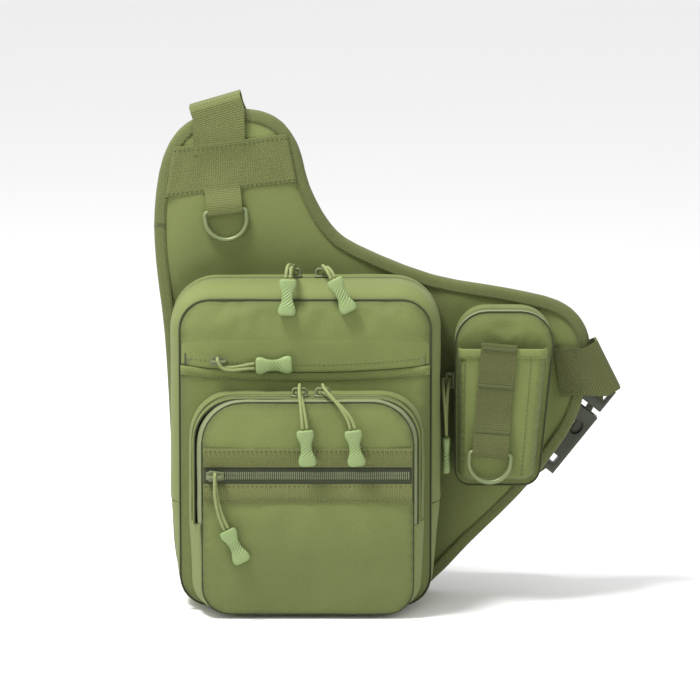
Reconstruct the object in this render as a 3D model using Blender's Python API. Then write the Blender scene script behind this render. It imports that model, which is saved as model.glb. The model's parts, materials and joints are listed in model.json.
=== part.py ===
"""Sling bag: padded back panel with a wing, main compartment, front pocket, side pouch, webbing and buckle.

The frame is +X to the wing side, -Y to the front, +Z up, with the origin under the middle of the main
compartment's base. All dimensions below are millimetres; the meshes are made in metres.
"""

import math

import bmesh
import bpy
import numpy as np
from mathutils import Matrix, Vector

MM = 0.001
GAP = 0.3
FABRIC = 1.6

# Padded back panel, from front to rear
PANEL_FRONT = 29.0
PANEL_FACE = 1.7
FOAM = 9.0
MESH_PAD = 3.6
PANEL_REAR = PANEL_FRONT + PANEL_FACE + FOAM + MESH_PAD + 2 * GAP
BINDING_WIDTH = 9.0
BINDING_FABRIC = 1.4
PANEL_POINTS = [
    (-55, 366), (-24, 361), (-6, 340), (3, 308), (19, 279), (40, 263), (95, 241), (150, 231),
    (190, 221), (209, 203), (213, 178), (206, 140), (190, 110), (160, 73), (124, 37), (98, 10),
    (80, 2), (0, 2), (-68, 2), (-92, 10), (-100, 40), (-102, 120), (-106, 196), (-112, 250),
    (-113, 290), (-106, 331), (-88, 356),
]

# Main compartment
MAIN_HALF = 100.0
MAIN_SEAM_HALF = 93.0
MAIN_TOP = 243.0
MAIN_SEAM_TOP = 233.0
MAIN_REAR = 27.0
MAIN_SEAM = -30.0
MAIN_CORNER = 34.0
MAIN_SEAM_CORNER = 22.0
MAIN_FOOT_CORNER = 26.0
MAIN_ZIP_END = 80.0
MAIN_ZIP_REAR = 15.0
MAIN_ZIP_MIDDLE = 10.4
MAIN_ZIP_FRONT = 5.8
SLIP_TOP = 184.0

# Front pocket
POCKET_LEFT = -86.0
POCKET_RIGHT = 88.0
POCKET_FACE_LEFT = -76.0
POCKET_FACE_RIGHT = 80.0
POCKET_BOTTOM = 3.0
POCKET_TOP = 166.0
POCKET_FACE_TOP = 162.0
POCKET_REAR = -34.3
POCKET_SEAM = -60.0
POCKET_CORNER = 32.0
POCKET_FOOT_CORNER = 20.0
POCKET_ZIP_END = 70.0
POCKET_ZIP_REAR = -46.0
POCKET_ZIP_MIDDLE = -51.0
FACE_ZIP_LOW = 101.8
FACE_ZIP_HIGH = 113.2
BAND_WIDTH = 15.0

# Side pouch
POUCH_LEFT = 111.0
POUCH_RIGHT = 184.0
POUCH_BOTTOM = 89.0
POUCH_TOP = 220.0
POUCH_REAR = 27.0
POUCH_SEAM = -5.0
POUCH_CORNER = 24.0
POUCH_FOOT_CORNER = 12.0
POUCH_ZIP_END = 112.0
POUCH_ZIP_REAR = 12.0
POUCH_ZIP_MIDDLE = 7.4
POUCH_SLANT_TOP = 196.0
POUCH_SLANT = 0.1
SLEEVE_DEPTH = 10.0

# Webbing and hardware
WEB = 38.0
WEB_THICK = 1.6
KEEPER_WEB = 26.5
WIRE = 1.7
RING_HALF = 15.4
RING_DROP = 22.0
CORD = 1.2
CORD_END = 0.8
BAR = 1.2
PLATE = 1.4
BAR_HEIGHT = 6.2
SLIDER_LONG = 13.0
SLIDER_WIDE = 8.4
GRIP_LONG = 27.0
GRIP_END = 6.4
GRIP_THICK = 2.9

OLIVE = (0.205, 0.245, 0.085)
WEB_OLIVE = (0.165, 0.18, 0.07)
GRIP_GREEN = (0.27, 0.35, 0.15)
CORD_GREEN = (0.27, 0.30, 0.14)
TAPE_GREEN = (0.11, 0.125, 0.06)
BUCKLE_OLIVE = (0.06, 0.07, 0.03)
METAL_OLIVE = (0.20, 0.23, 0.11)
FOAM_GREY = (0.35, 0.35, 0.33)
MESH_OLIVE = (0.10, 0.12, 0.05)

made = {}


def paint(obj, colour, roughness):
    """The object's own Principled material."""
    material = bpy.data.materials.new(obj.name)
    material.use_nodes = True
    shader = material.node_tree.nodes["Principled BSDF"]
    shader.inputs["Base Color"].default_value = (*colour, 1)
    shader.inputs["Roughness"].default_value = roughness
    obj.data.materials.append(material)


def solid(name, points, faces, colour, origin=(0, 0, 0), roughness=0.85):
    """A closed mesh object from points in millimetres, with its origin at the given point."""
    origin = Vector(origin)
    mesh = bpy.data.meshes.new(name)
    mesh.from_pydata([(Vector(p) - origin) * MM for p in points], [], faces)
    shape = bmesh.new()
    shape.from_mesh(mesh)
    bmesh.ops.recalc_face_normals(shape, faces=shape.faces)
    shape.to_mesh(mesh)
    shape.free()
    obj = bpy.data.objects.new(name, mesh)
    bpy.context.collection.objects.link(obj)
    obj.location = origin * MM
    paint(obj, colour, roughness)
    made[name] = obj
    return obj


def arc(x, z, radius, start, end, steps):
    """Points round a centre, from one angle to another in degrees."""
    angles = np.radians(np.linspace(start, end, steps + 1))
    return [(x + radius * math.cos(a), z + radius * math.sin(a)) for a in angles]


def arch(left, right, low, top, corner, steps=7):
    """An upside-down U: up the left side, over the top and down the right side."""
    over = arc(left + corner, top - corner, corner, 180, 90, steps)
    down = arc(right - corner, top - corner, corner, 90, 0, steps)
    return [(left, low), *over, *down, (right, low)]


def trough(left, right, high, bottom, corner, toe=0.0, steps=6):
    """A U: down the left side, along the bottom and up the right side; toe narrows the foot."""
    under = arc(left + toe + corner, bottom + corner, corner, 180, 270, steps)
    rise = arc(right - toe - corner, bottom + corner, corner, 270, 360, steps)
    return [(left, high), *under, *rise, (right, high)]


def round_box(left, right, bottom, top, low_corner, high_corner, steps=6):
    """A closed outline with round corners, anticlockwise from its lower left."""
    return [
        *arc(left + low_corner, bottom + low_corner, low_corner, 180, 270, steps),
        *arc(right - low_corner, bottom + low_corner, low_corner, 270, 360, steps),
        *arc(right - high_corner, top - high_corner, high_corner, 0, 90, steps),
        *arc(left + high_corner, top - high_corner, high_corner, 90, 180, steps),
    ]


def strip(name, sections, colour=OLIVE):
    """A fabric strip between outer and inner paths; sections are (y, outer path, inner path)."""
    rows = len(sections)
    count = len(sections[0][1])
    points = []
    for y, outer, inner in sections:
        points += [(x, y, z) for x, z in outer]
        points += [(x, y, z) for x, z in inner]

    def at(row, side, column):
        return (row * 2 + side) * count + column

    faces = []
    for row in range(rows - 1):
        for column in range(count - 1):
            for side in (0, 1):
                faces.append([at(row, side, column), at(row, side, column + 1),
                              at(row + 1, side, column + 1), at(row + 1, side, column)])
        for column in (0, count - 1):
            faces.append([at(row, 0, column), at(row, 1, column),
                          at(row + 1, 1, column), at(row + 1, 0, column)])
    for row in (0, rows - 1):
        for column in range(count - 1):
            faces.append([at(row, 0, column), at(row, 0, column + 1),
                          at(row, 1, column + 1), at(row, 1, column)])
    return solid(name, points, faces, colour)


def plate(name, outline, near, far, colour=OLIVE, roughness=0.85):
    """A flat piece of the outline's shape between two y values."""
    count = len(outline)
    points = [(x, near, z) for x, z in outline] + [(x, far, z) for x, z in outline]
    faces = [list(range(count)), list(range(count, 2 * count))]
    for i in range(count):
        j = (i + 1) % count
        faces.append([i, j, count + j, count + i])
    return solid(name, points, faces, colour, roughness=roughness)


def loft(name, rings, colour, origin=(0, 0, 0), roughness=0.6, matrix=None):
    """A closed solid through rings of points, capped at both ends."""
    count = len(rings[0])
    points = [Vector(p) for ring in rings for p in ring]
    if matrix is not None:
        points = [matrix @ p for p in points]
    faces = [list(range(count)), list(range(len(points) - count, len(points)))]
    for row in range(len(rings) - 1):
        for i in range(count):
            j = (i + 1) % count
            base = row * count
            faces.append([base + i, base + j, base + count + j, base + count + i])
    return solid(name, points, faces, colour, origin, roughness)


def ribbon(name, edges, thick=WEB_THICK, colour=WEB_OLIVE):
    """Webbing through stations, each a pair of edge points."""
    edges = [(Vector(a), Vector(b)) for a, b in edges]
    middles = [(a + b) / 2 for a, b in edges]
    rings = []
    before = None
    for i, (a, b) in enumerate(edges):
        along = middles[min(i + 1, len(edges) - 1)] - middles[max(i - 1, 0)]
        normal = along.cross(b - a).normalized()
        if before is not None and normal.dot(before) < 0:
            normal = -normal
        before = normal
        lift = normal * thick / 2
        rings.append([a - lift, b - lift, b + lift, a + lift])
    return loft(name, rings, colour, roughness=0.9)


def block(name, low, high, colour, origin=(0, 0, 0), matrix=None):
    """A box between two corners."""
    (x0, y0, z0), (x1, y1, z1) = low, high
    ring = [(x0, y0), (x1, y0), (x1, y1), (x0, y1)]
    return loft(name, [[(x, y, z) for x, y in ring] for z in (z0, z1)], colour, origin, 0.5, matrix)


def cut(obj, cutter):
    """Takes the cutter's shape out of the object."""
    combine(obj, cutter, "DIFFERENCE")


def join(obj, other):
    """Adds the other shape to the object."""
    combine(obj, other, "UNION")


def combine(obj, other, operation):
    other.hide_render = True
    other.display_type = "WIRE"
    boolean = obj.modifiers.new(other.name, "BOOLEAN")
    boolean.operation = operation
    boolean.solver = "EXACT"
    boolean.object = other


def smooth_loop(points, per_span):
    """A closed Catmull-Rom curve through the points."""
    points = [np.array(p, float) for p in points]
    count = len(points)
    curve = []
    for i in range(count):
        a, b, c, d = (points[(i + k - 1) % count] for k in range(4))
        for t in np.arange(per_span) / per_span:
            curve.append(0.5 * (2 * b + (c - a) * t + (2 * a - 5 * b + 4 * c - d) * t**2
                                + (3 * b - a - 3 * c + d) * t**3))
    return curve


def inset(curve, distance):
    """The closed clockwise curve moved inwards."""
    count = len(curve)
    moved = []
    for i in range(count):
        run = curve[(i + 1) % count] - curve[i - 1]
        run = run / np.linalg.norm(run)
        moved.append(curve[i] + distance * np.array([run[1], -run[0]]))
    return moved


def back_panel():
    """Face fabric, foam, spacer mesh and the binding that wraps their edge."""
    edge = smooth_loop(PANEL_POINTS, 3)
    inner = inset(edge, BINDING_FABRIC + GAP)
    y = PANEL_FRONT
    plate("back_panel_face", inner, y, y + PANEL_FACE)
    y += PANEL_FACE + GAP
    plate("back_panel_foam", inner, y, y + FOAM, FOAM_GREY)
    y += FOAM + GAP
    plate("back_mesh_padding", inner, y, y + MESH_PAD, MESH_OLIVE)
    lip = inset(edge, BINDING_WIDTH)
    wall = inset(edge, BINDING_FABRIC)
    front, rear = PANEL_FRONT - GAP, PANEL_REAR + GAP
    section = [
        (lip, front - BINDING_FABRIC), (edge, front - BINDING_FABRIC), (edge, rear + BINDING_FABRIC),
        (lip, rear + BINDING_FABRIC), (lip, rear), (wall, rear), (wall, front), (lip, front),
    ]
    count, sides = len(edge), len(section)
    points = [(path[i][0], depth, path[i][1]) for i in range(count) for path, depth in section]
    faces = []
    for i in range(count):
        j = (i + 1) % count
        for k in range(sides):
            m = (k + 1) % sides
            faces.append([i * sides + k, i * sides + m, j * sides + m, j * sides + k])
    solid("edge_binding", points, faces, WEB_OLIVE)


def main_arch(y, half, top, corner):
    low = MAIN_ZIP_END + GAP / 2
    return (y, arch(-half, half, low, top, corner),
            arch(-half + FABRIC, half - FABRIC, low, top - FABRIC, corner - FABRIC))


def main_compartment():
    """Gussets, zip halves, the front panel and the flat slip pocket on it."""
    high = MAIN_ZIP_END - GAP / 2
    base = []
    for y, half, foot, bottom in (
        (MAIN_REAR, MAIN_HALF, 5, 0), (-14, MAIN_HALF, 5, 0), (-23, 98, 6, 1),
        (MAIN_SEAM + GAP, MAIN_SEAM_HALF, 4, 3),
    ):
        base.append((y, trough(-half, half, high, bottom, MAIN_FOOT_CORNER, foot),
                     trough(-half + FABRIC, half - FABRIC, high, bottom + FABRIC,
                            MAIN_FOOT_CORNER - FABRIC, foot)))
    strip("main_base_gusset", base)
    for name, rear, front, colour in (
        ("main_gusset_rear", MAIN_REAR, MAIN_ZIP_REAR, OLIVE),
        ("main_zip_rear", MAIN_ZIP_REAR - GAP, MAIN_ZIP_MIDDLE + GAP / 2, TAPE_GREEN),
        ("main_zip_front", MAIN_ZIP_MIDDLE - GAP / 2, MAIN_ZIP_FRONT, TAPE_GREEN),
    ):
        strip(name, [main_arch(y, MAIN_HALF, MAIN_TOP, MAIN_CORNER) for y in (rear, front)], colour)
    strip("main_gusset_front", [
        main_arch(MAIN_ZIP_FRONT - GAP, MAIN_HALF, MAIN_TOP, MAIN_CORNER),
        main_arch(-10, MAIN_HALF, MAIN_TOP - 1, MAIN_CORNER),
        main_arch(-22, 98, 239.5, 30),
        main_arch(MAIN_SEAM + GAP, MAIN_SEAM_HALF, MAIN_SEAM_TOP, MAIN_SEAM_CORNER),
    ])
    half = MAIN_SEAM_HALF
    y = MAIN_SEAM
    plate("main_front_panel", round_box(-half, half, 3, MAIN_SEAM_TOP, MAIN_FOOT_CORNER - 4, 22),
          y, y - FABRIC)
    y -= FABRIC + GAP
    plate("main_slip_panel", round_box(-half + 1, half - 1, 4, SLIP_TOP, MAIN_FOOT_CORNER - 4, 1, 6),
          y, y - FABRIC)
    plate("hidden_zip", round_box(-half + 4, half - 4, SLIP_TOP + GAP, SLIP_TOP + 8, 1, 1, 2),
          y, y - 1.2, TAPE_GREEN)


def pocket_outlines(y):
    """How far the pocket has narrowed at y: left, right, top and corner radius."""
    share = (y - POCKET_REAR) / (POCKET_SEAM - POCKET_REAR)
    left = POCKET_LEFT + share * (POCKET_FACE_LEFT - POCKET_LEFT)
    right = POCKET_RIGHT + share * (POCKET_FACE_RIGHT - POCKET_RIGHT)
    top = POCKET_TOP + share * (POCKET_FACE_TOP - POCKET_TOP)
    return left, right, top


def pocket_arch(y):
    left, right, top = pocket_outlines(y)
    low = POCKET_ZIP_END + GAP / 2
    return (y, arch(left, right, low, top, POCKET_CORNER),
            arch(left + FABRIC, right - FABRIC, low, top - FABRIC, POCKET_CORNER - FABRIC))


def pocket_trough(y):
    left, right, _ = pocket_outlines(y)
    high, bottom = POCKET_ZIP_END - GAP / 2, POCKET_BOTTOM
    return (y, trough(left, right, high, bottom, POCKET_FOOT_CORNER, 2),
            trough(left + FABRIC, right - FABRIC, high, bottom + FABRIC,
                   POCKET_FOOT_CORNER - FABRIC, 2))


def front_pocket():
    """The zipped pocket on the front, its webbing bands and its face zip."""
    strip("pocket_gusset_rear", [pocket_arch(y) for y in (POCKET_REAR, POCKET_ZIP_REAR)])
    strip("pocket_gusset_lower", [pocket_trough(y) for y in (POCKET_REAR, POCKET_SEAM)])
    strip("pocket_zip_rear",
          [pocket_arch(y) for y in (POCKET_ZIP_REAR - GAP, POCKET_ZIP_MIDDLE + GAP / 2)], TAPE_GREEN)
    strip("pocket_zip_front",
          [pocket_arch(y) for y in (POCKET_ZIP_MIDDLE - GAP / 2, POCKET_SEAM)], TAPE_GREEN)
    y = POCKET_SEAM - GAP
    face = round_box(POCKET_FACE_LEFT, POCKET_FACE_RIGHT, POCKET_BOTTOM, POCKET_FACE_TOP,
                     POCKET_FOOT_CORNER, POCKET_CORNER - 1)
    plate("pocket_front_panel", face, y, y - FABRIC)
    y -= FABRIC + GAP
    left, right = POCKET_FACE_LEFT + 1, POCKET_FACE_RIGHT - 1
    for name, low, high, thick, colour in (
        ("pocket_webbing_upper", FACE_ZIP_HIGH + GAP, FACE_ZIP_HIGH + BAND_WIDTH, 1.4, WEB_OLIVE),
        ("face_zip", FACE_ZIP_LOW, FACE_ZIP_HIGH, 1.8, TAPE_GREEN),
        ("pocket_webbing_lower", FACE_ZIP_LOW - BAND_WIDTH, FACE_ZIP_LOW - GAP, 1.4, WEB_OLIVE),
    ):
        plate(name, round_box(left, right, low, high, 1, 1, 2), y, y - thick, colour)


def slanted(outline):
    """A pouch outline whose right side leans in towards its foot, along the panel's edge."""
    width = POUCH_RIGHT - POUCH_LEFT
    return [(x - max(0, POUCH_SLANT_TOP - z) * POUCH_SLANT * (x - POUCH_LEFT) / width, z)
            for x, z in outline]


def pouch_arch(y):
    low = POUCH_ZIP_END + GAP / 2
    outer = arch(POUCH_LEFT, POUCH_RIGHT, low, POUCH_TOP, POUCH_CORNER)
    inner = arch(POUCH_LEFT + FABRIC, POUCH_RIGHT - FABRIC, low, POUCH_TOP - FABRIC,
                 POUCH_CORNER - FABRIC)
    return y, slanted(outer), slanted(inner)


def pouch_trough(y):
    high = POUCH_ZIP_END - GAP / 2
    outer = trough(POUCH_LEFT, POUCH_RIGHT, high, POUCH_BOTTOM, POUCH_FOOT_CORNER, 2)
    inner = trough(POUCH_LEFT + FABRIC, POUCH_RIGHT - FABRIC, high, POUCH_BOTTOM + FABRIC,
                   POUCH_FOOT_CORNER - FABRIC, 2)
    return y, slanted(outer), slanted(inner)


def side_pouch():
    """The pouch on the wing, its open sleeve and the webbing that holds a D-ring."""
    strip("pouch_gusset_lower", [pouch_trough(y) for y in (POUCH_REAR, POUCH_SEAM)])
    for name, rear, front, colour in (
        ("pouch_gusset_rear", POUCH_REAR, POUCH_ZIP_REAR, OLIVE),
        ("pouch_zip_rear", POUCH_ZIP_REAR - GAP, POUCH_ZIP_MIDDLE + GAP / 2, TAPE_GREEN),
        ("pouch_zip_front", POUCH_ZIP_MIDDLE - GAP / 2, POUCH_SEAM, TAPE_GREEN),
    ):
        strip(name, [pouch_arch(y) for y in (rear, front)], colour)
    y = POUCH_SEAM - GAP
    face = round_box(POUCH_LEFT, POUCH_RIGHT, POUCH_BOTTOM, POUCH_TOP, POUCH_FOOT_CORNER, POUCH_CORNER)
    plate("pouch_front_panel", slanted(face), y, y - FABRIC)
    y -= FABRIC + GAP
    left, right, low, top = POUCH_LEFT + 2, POUCH_RIGHT - 4, POUCH_BOTTOM + 4, 193
    sleeve = plate("pouch_sleeve", slanted(round_box(left, right, low, top, 10, 1, 4)), y, y - SLEEVE_DEPTH)
    hollow = plate("sleeve_hollow",
                   slanted(round_box(left + FABRIC, right - FABRIC, low + FABRIC, top + 5, 9, 1, 4)),
                   y + 5, y - SLEEVE_DEPTH + FABRIC)
    cut(sleeve, hollow)


def hairpin(radius, front_run, back_run, gap_y):
    """Webbing round a ring's straight bar, seen from the side: (y, z) points from back to front."""
    turn = [(radius * math.cos(a), radius * math.sin(a)) for a in np.radians(np.linspace(0, -180, 9))]
    return [(gap_y, back_run), (radius, 4), *turn, (-radius, 4), *front_run]


def keeper(name, centre, tilt, path):
    """A webbing loop of the keeper's width along a path, turned about the ring's bar."""
    turn = Matrix.Rotation(math.radians(tilt), 4, "Y")
    half = KEEPER_WEB / 2
    edges = []
    for y, z in path:
        edges.append((Vector(centre) + turn @ Vector((-half, y, z)),
                      Vector(centre) + turn @ Vector((half, y, z))))
    return ribbon(name, edges, 1.4)


def tube(name, centres, radius, colour, origin, closed=False, sides=8, roughness=0.6):
    """A curve object with a round bevel along the points."""
    curve = bpy.data.curves.new(name, "CURVE")
    curve.dimensions = "3D"
    curve.bevel_depth = radius * MM
    curve.bevel_resolution = sides // 4
    curve.use_fill_caps = not closed
    curve.render_resolution_u = 0
    spline = curve.splines.new("POLY")
    spline.points.add(len(centres) - 1)
    for point, centre in zip(spline.points, centres):
        point.co = (*((Vector(centre) - Vector(origin)) * MM), 1)
    spline.use_cyclic_u = closed
    obj = bpy.data.objects.new(name, curve)
    bpy.context.collection.objects.link(obj)
    obj.location = Vector(origin) * MM
    paint(obj, colour, roughness)
    made[name] = obj
    return obj


def d_ring(name, centre, tilt):
    """A wire ring with a straight bar and a round end that hangs below it."""
    turn = Matrix.Rotation(math.radians(tilt), 4, "Y")
    drop = RING_DROP - RING_HALF
    flat = [(-RING_HALF + 2.5, 0), (0, 0), (RING_HALF - 2.5, 0), (RING_HALF - 0.6, -0.9),
            (RING_HALF, -3), *arc(0, -drop, RING_HALF, 0, -180, 12), (-RING_HALF, -3),
            (-RING_HALF + 0.6, -0.9)]
    points = [Vector(centre) + turn @ Vector((x, 0, z)) for x, z in flat]
    tube(name, points, WIRE, METAL_OLIVE, centre, closed=True)


TOP_RING = (-60.0, 24.9, 291.0)
TOP_TILT = -6.5
SIDE_RING = (137.0, -20.9, 116.0)
SIDE_TILT = 4.5


def rings_and_keepers():
    radius = WIRE + GAP + 0.7
    lip = PANEL_FRONT - GAP - 0.7 - TOP_RING[1]
    d_ring("top_d_ring", TOP_RING, TOP_TILT)
    keeper("top_keeper", TOP_RING, TOP_TILT, hairpin(radius, [(-0.4, 13.5)], 13.5, lip))
    d_ring("side_d_ring", SIDE_RING, SIDE_TILT)
    face = POUCH_SEAM - 2 * GAP - FABRIC - SLEEVE_DEPTH - GAP - 0.7 - SIDE_RING[1]
    keeper("pouch_webbing", SIDE_RING, SIDE_TILT,
           hairpin(radius, [(0.9, 22), (0.9, 82)], 14, face))


def top_band():
    """Wide webbing sewn across the shoulder of the panel, rising to the right, as wide as the panel."""
    y = PANEL_FRONT - 2 * GAP - BINDING_FABRIC - WEB_THICK / 2
    ribbon("top_band", [((-104.5, y, 300.4), (-98.5, y, 338.0)), ((-6.5, y, 312.0), (-13.5, y, 348.0))])


def fold(front_pair, rear_y, turn=1, corner=4.0, steps=3):
    """Stations round a flat fold, from a front pair of edge points to the same pair at rear_y."""
    a, b = (Vector(p) for p in front_pair)
    out = Vector((-(b - a).z, 0, (b - a).x)).normalized() * turn
    depth = rear_y - a.y
    path = [(0, 0)]
    path += arc(FOLD_REACH - corner, corner, corner, -90, 0, steps)
    path += arc(FOLD_REACH - corner, depth - corner, corner, 0, 90, steps)
    path.append((0, depth))
    return [(a + out * reach + Vector((0, back, 0)), b + out * reach + Vector((0, back, 0)))
            for reach, back in path]


FOLD_REACH = 11.8
STRAP_REAR = PANEL_REAR + BINDING_FABRIC + 4.4
WING_STRAP_REAR = PANEL_REAR + BINDING_FABRIC + 2.1
TOP_FOLD = ((-83.0, 26.0, 356.0), (-45.5, 26.0, 367.0))
STRAP_START = Vector((-62.0, STRAP_REAR, 358.0))
STRAP_DOWN = Vector((0.42, 0, -0.907)).normalized()
STRAP_ACROSS = Vector((0.907, 0, 0.42)).normalized()
GLIDE_REACH = 62.0
BUCKLE_BAR = Vector((213.0, 53.0, 160.0))
BUCKLE_AXIS = Vector((-0.62, 0, -0.785)).normalized()
BUCKLE_ACROSS = Vector((0.785, 0, -0.62)).normalized()
BUCKLE_LONG = 74.0


def shoulder_strap():
    """Webbing over the panel's top, down behind it in a slack loop, and up to the buckle's bar."""
    edges = [((-84.0, 26.0, 342.0), (-46.0, 26.0, 346.3))]
    edges += fold(TOP_FOLD, STRAP_REAR)
    across = STRAP_ACROSS * WEB / 2
    for reach in (24, 60, 100, 140, 165):
        middle = STRAP_START + STRAP_DOWN * reach
        edges.append((middle - across, middle + across))
    # Width turns from lying along the panel to standing out from it round the slack loop.
    loop = [((25, 56, 176), 25), ((44, 62, 144), 55), ((66, 66, 110), 82), ((90, 66, 82), 90),
            ((112, 66, 70), 90), ((133, 64, 72), 84), ((146, 60, 82), 50), ((155, 55, 92), 18)]
    count = len(loop)
    for i, (middle, turn) in enumerate(loop):
        middle = Vector(middle)
        share = i / (count - 1)
        flat = across.normalized().lerp(BUCKLE_ACROSS, share).normalized()
        angle = math.radians(turn)
        half = (flat * math.cos(angle) + Vector((0, 1, 0)) * math.sin(angle)) * WEB / 2
        edges.append((middle - half, middle + half))
    half = BUCKLE_ACROSS * WEB / 2
    end = BUCKLE_BAR + BUCKLE_AXIS * (BUCKLE_LONG + 1)
    edges.append((end - half, end + half))
    ribbon("shoulder_strap", edges)


def wing_strap():
    """Webbing sewn to the wing, folded behind it and led to the buckle's web bar."""
    front = PANEL_FRONT - 2 * GAP - BINDING_FABRIC - 0.8
    along = Vector((0.989, 0, 0.15))
    up = Vector((-0.15, 0, 0.989)) * WEB / 2
    edges = []
    for reach in (0, 10):
        middle = Vector((188.6, front, 168.4)) + along * reach
        edges.append((middle - up, middle + up))
    low, high = Vector((224.5, front, 150.5)), Vector((206.5, front, 186.5))
    edges += fold((low, high), WING_STRAP_REAR, -1)
    half = BUCKLE_ACROSS * WEB / 2
    end = BUCKLE_BAR + BUCKLE_AXIS * 8
    end.y = WING_STRAP_REAR
    edges.append((end + half, end - half))
    ribbon("wing_strap", edges)


def buckle_matrix():
    """From the buckle's own frame (across, depth, along) to the part's."""
    columns = Matrix((BUCKLE_ACROSS, Vector((0, 1, 0)), BUCKLE_AXIS)).transposed().to_4x4()
    return Matrix.Translation(BUCKLE_BAR) @ columns


PRONG_PIVOT = 17.0


def buckle():
    """The side-release buckle: a male half with two sprung prongs, and the housing it clicks into."""
    place = buckle_matrix()
    bar = tuple(BUCKLE_BAR)
    male = block("buckle_male", (-23, -4, -4), (23, 4, 15.5), BUCKLE_OLIVE, bar, place)
    slot = block("male_slot", (-20, -8, 0), (20, 8, 7), BUCKLE_OLIVE, matrix=place)
    guide = block("male_guide", (-3, -2.6, 15), (3, 2.6, 44), BUCKLE_OLIVE, matrix=place)
    cut(male, slot)
    join(male, guide)
    housing = block("buckle_female", (-24, -6.5, 20), (24, 6.5, BUCKLE_LONG), BUCKLE_OLIVE, bar, place)
    for index, (low, high) in enumerate((
        ((-21, -4, 10), (21, 4, 50)),
        ((-30, -3.6, 28), (30, 3.6, 42)),
        ((-20, -10, 61), (20, 10, 68)),
    )):
        cut(housing, block(f"housing_cut_{index}", low, high, BUCKLE_OLIVE, matrix=place))
    for name, side in (("buckle_prong_left", -1), ("buckle_prong_right", 1)):
        oval = [(side * 15.7 + 4.4 * math.cos(a), 35 + 6 * math.sin(a)) for a in np.radians(np.arange(0, 360, 22.5))]
        cut(housing, loft(name + "_window", [[(w, y, s) for w, s in oval] for y in (-10, 10)],
                          BUCKLE_OLIVE, matrix=place))
        outline = [(12, 16), (17, 16), (18.5, 27), (20.6, 30), (20.6, 39), (16, 43), (13.5, 40), (12.5, 27)]
        rings = [[(side * w, y, s) for w, s in outline] for y in (-3, 3)]
        pivot = place @ Vector((side * 14.5, 0, PRONG_PIVOT))
        loft(name, rings, BUCKLE_OLIVE, pivot, 0.5, place)


def tri_glide():
    """The adjuster: a frame behind the strap with a middle bar in front of it."""
    centre = STRAP_START + STRAP_DOWN * GLIDE_REACH
    columns = Matrix((STRAP_ACROSS, Vector((0, 1, 0)), STRAP_DOWN)).transposed().to_4x4()
    place = Matrix.Translation(centre) @ columns
    frame = block("tri_glide", (-23, -3.6, -13), (23, 4.4, 13), BUCKLE_OLIVE, centre, place)
    for index, (low, high) in enumerate((
        ((-19.6, -10, -9.5), (19.6, 10, -2.5)),
        ((-19.6, -10, 2.5), (19.6, 10, 9.5)),
        ((-19.6, -10, -20), (19.6, 1.2, -2.5)),
        ((-19.6, -10, 2.5), (19.6, 1.2, 20)),
        ((-19.6, -1.2, -6), (19.6, 10, 6)),
    )):
        cut(frame, block(f"glide_cut_{index}", low, high, BUCKLE_OLIVE, matrix=place))


def zip_slider(name, base, out, along):
    """A slider's plate and bridge. base is on the zip, out points away from it, along runs with it."""
    out, along = Vector(out), Vector(along)
    side = out.cross(along)
    columns = Matrix((side, along, out)).transposed().to_4x4()
    place = Matrix.Translation(Vector(base)) @ columns
    bar = Vector(base) + out * BAR_HEIGHT
    half, wide = SLIDER_LONG / 2, SLIDER_WIDE / 2
    rings = []
    for level, grow in ((GAP, -0.6), (GAP + 0.6, 0), (PLATE, 0), (PLATE + 0.5, -0.8)):
        shape = [(-wide, -half + 3), (-wide + 2, -half), (wide - 2, -half), (wide, -half + 3),
                 (wide - 1.2, half - 1), (wide - 3, half), (-wide + 3, half), (-wide + 1.2, half - 1)]
        scale = 1 + grow / wide / 2
        rings.append([(x * scale, y * scale, level) for x, y in shape])
    obj = loft(name, rings, BUCKLE_OLIVE, bar, 0.4, place)
    bridge = []
    for y, z in ((-half + 1.6, PLATE - 0.4), (-half + 1.6, BAR_HEIGHT - 1), (-half + 2.6, BAR_HEIGHT),
                 (half - 2.6, BAR_HEIGHT), (half - 1.6, BAR_HEIGHT - 1), (half - 1.6, PLATE - 0.4)):
        bridge.append((y, z))
    rings = []
    for i, (y, z) in enumerate(bridge):
        before, after = bridge[max(i - 1, 0)], bridge[min(i + 1, len(bridge) - 1)]
        run = Vector((0, after[0] - before[0], after[1] - before[1])).normalized()
        across = run.cross(Vector((1, 0, 0)))
        rings.append([Vector((0, y, z)) + Vector((1, 0, 0)) * BAR * math.cos(a) + across * BAR * math.sin(a)
                      for a in np.radians(np.arange(0, 360, 45))])
    join(obj, loft(name + "_bridge", rings, BUCKLE_OLIVE, matrix=place))
    return bar


def grip(name, top, run, face, pivot):
    """A dog-bone rubber grip from its top along run, its broad side facing face."""
    top, run, face = Vector(top), Vector(run).normalized(), Vector(face)
    side = run.cross(face).normalized()
    face = side.cross(run)
    rings = []
    for share, wide, thick in (
        (0, 0.72, 0.8), (0.04, 0.95, 1), (0.16, 1, 1), (0.36, 0.68, 0.86), (0.5, 0.64, 0.84),
        (0.64, 0.7, 0.86), (0.84, 1.04, 1), (0.96, 0.96, 1), (1, 0.7, 0.8),
    ):
        ring = []
        for a in np.radians(np.arange(0, 360, 36)):
            x = math.copysign(abs(math.cos(a)) ** 0.7, math.cos(a)) * GRIP_END * wide
            y = math.copysign(abs(math.sin(a)) ** 0.7, math.sin(a)) * GRIP_THICK * thick
            ring.append(top + run * (GRIP_LONG * share) + side * x + face * y)
        rings.append(ring)
    loft(name, rings, GRIP_GREEN, pivot, 0.6)


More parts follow.
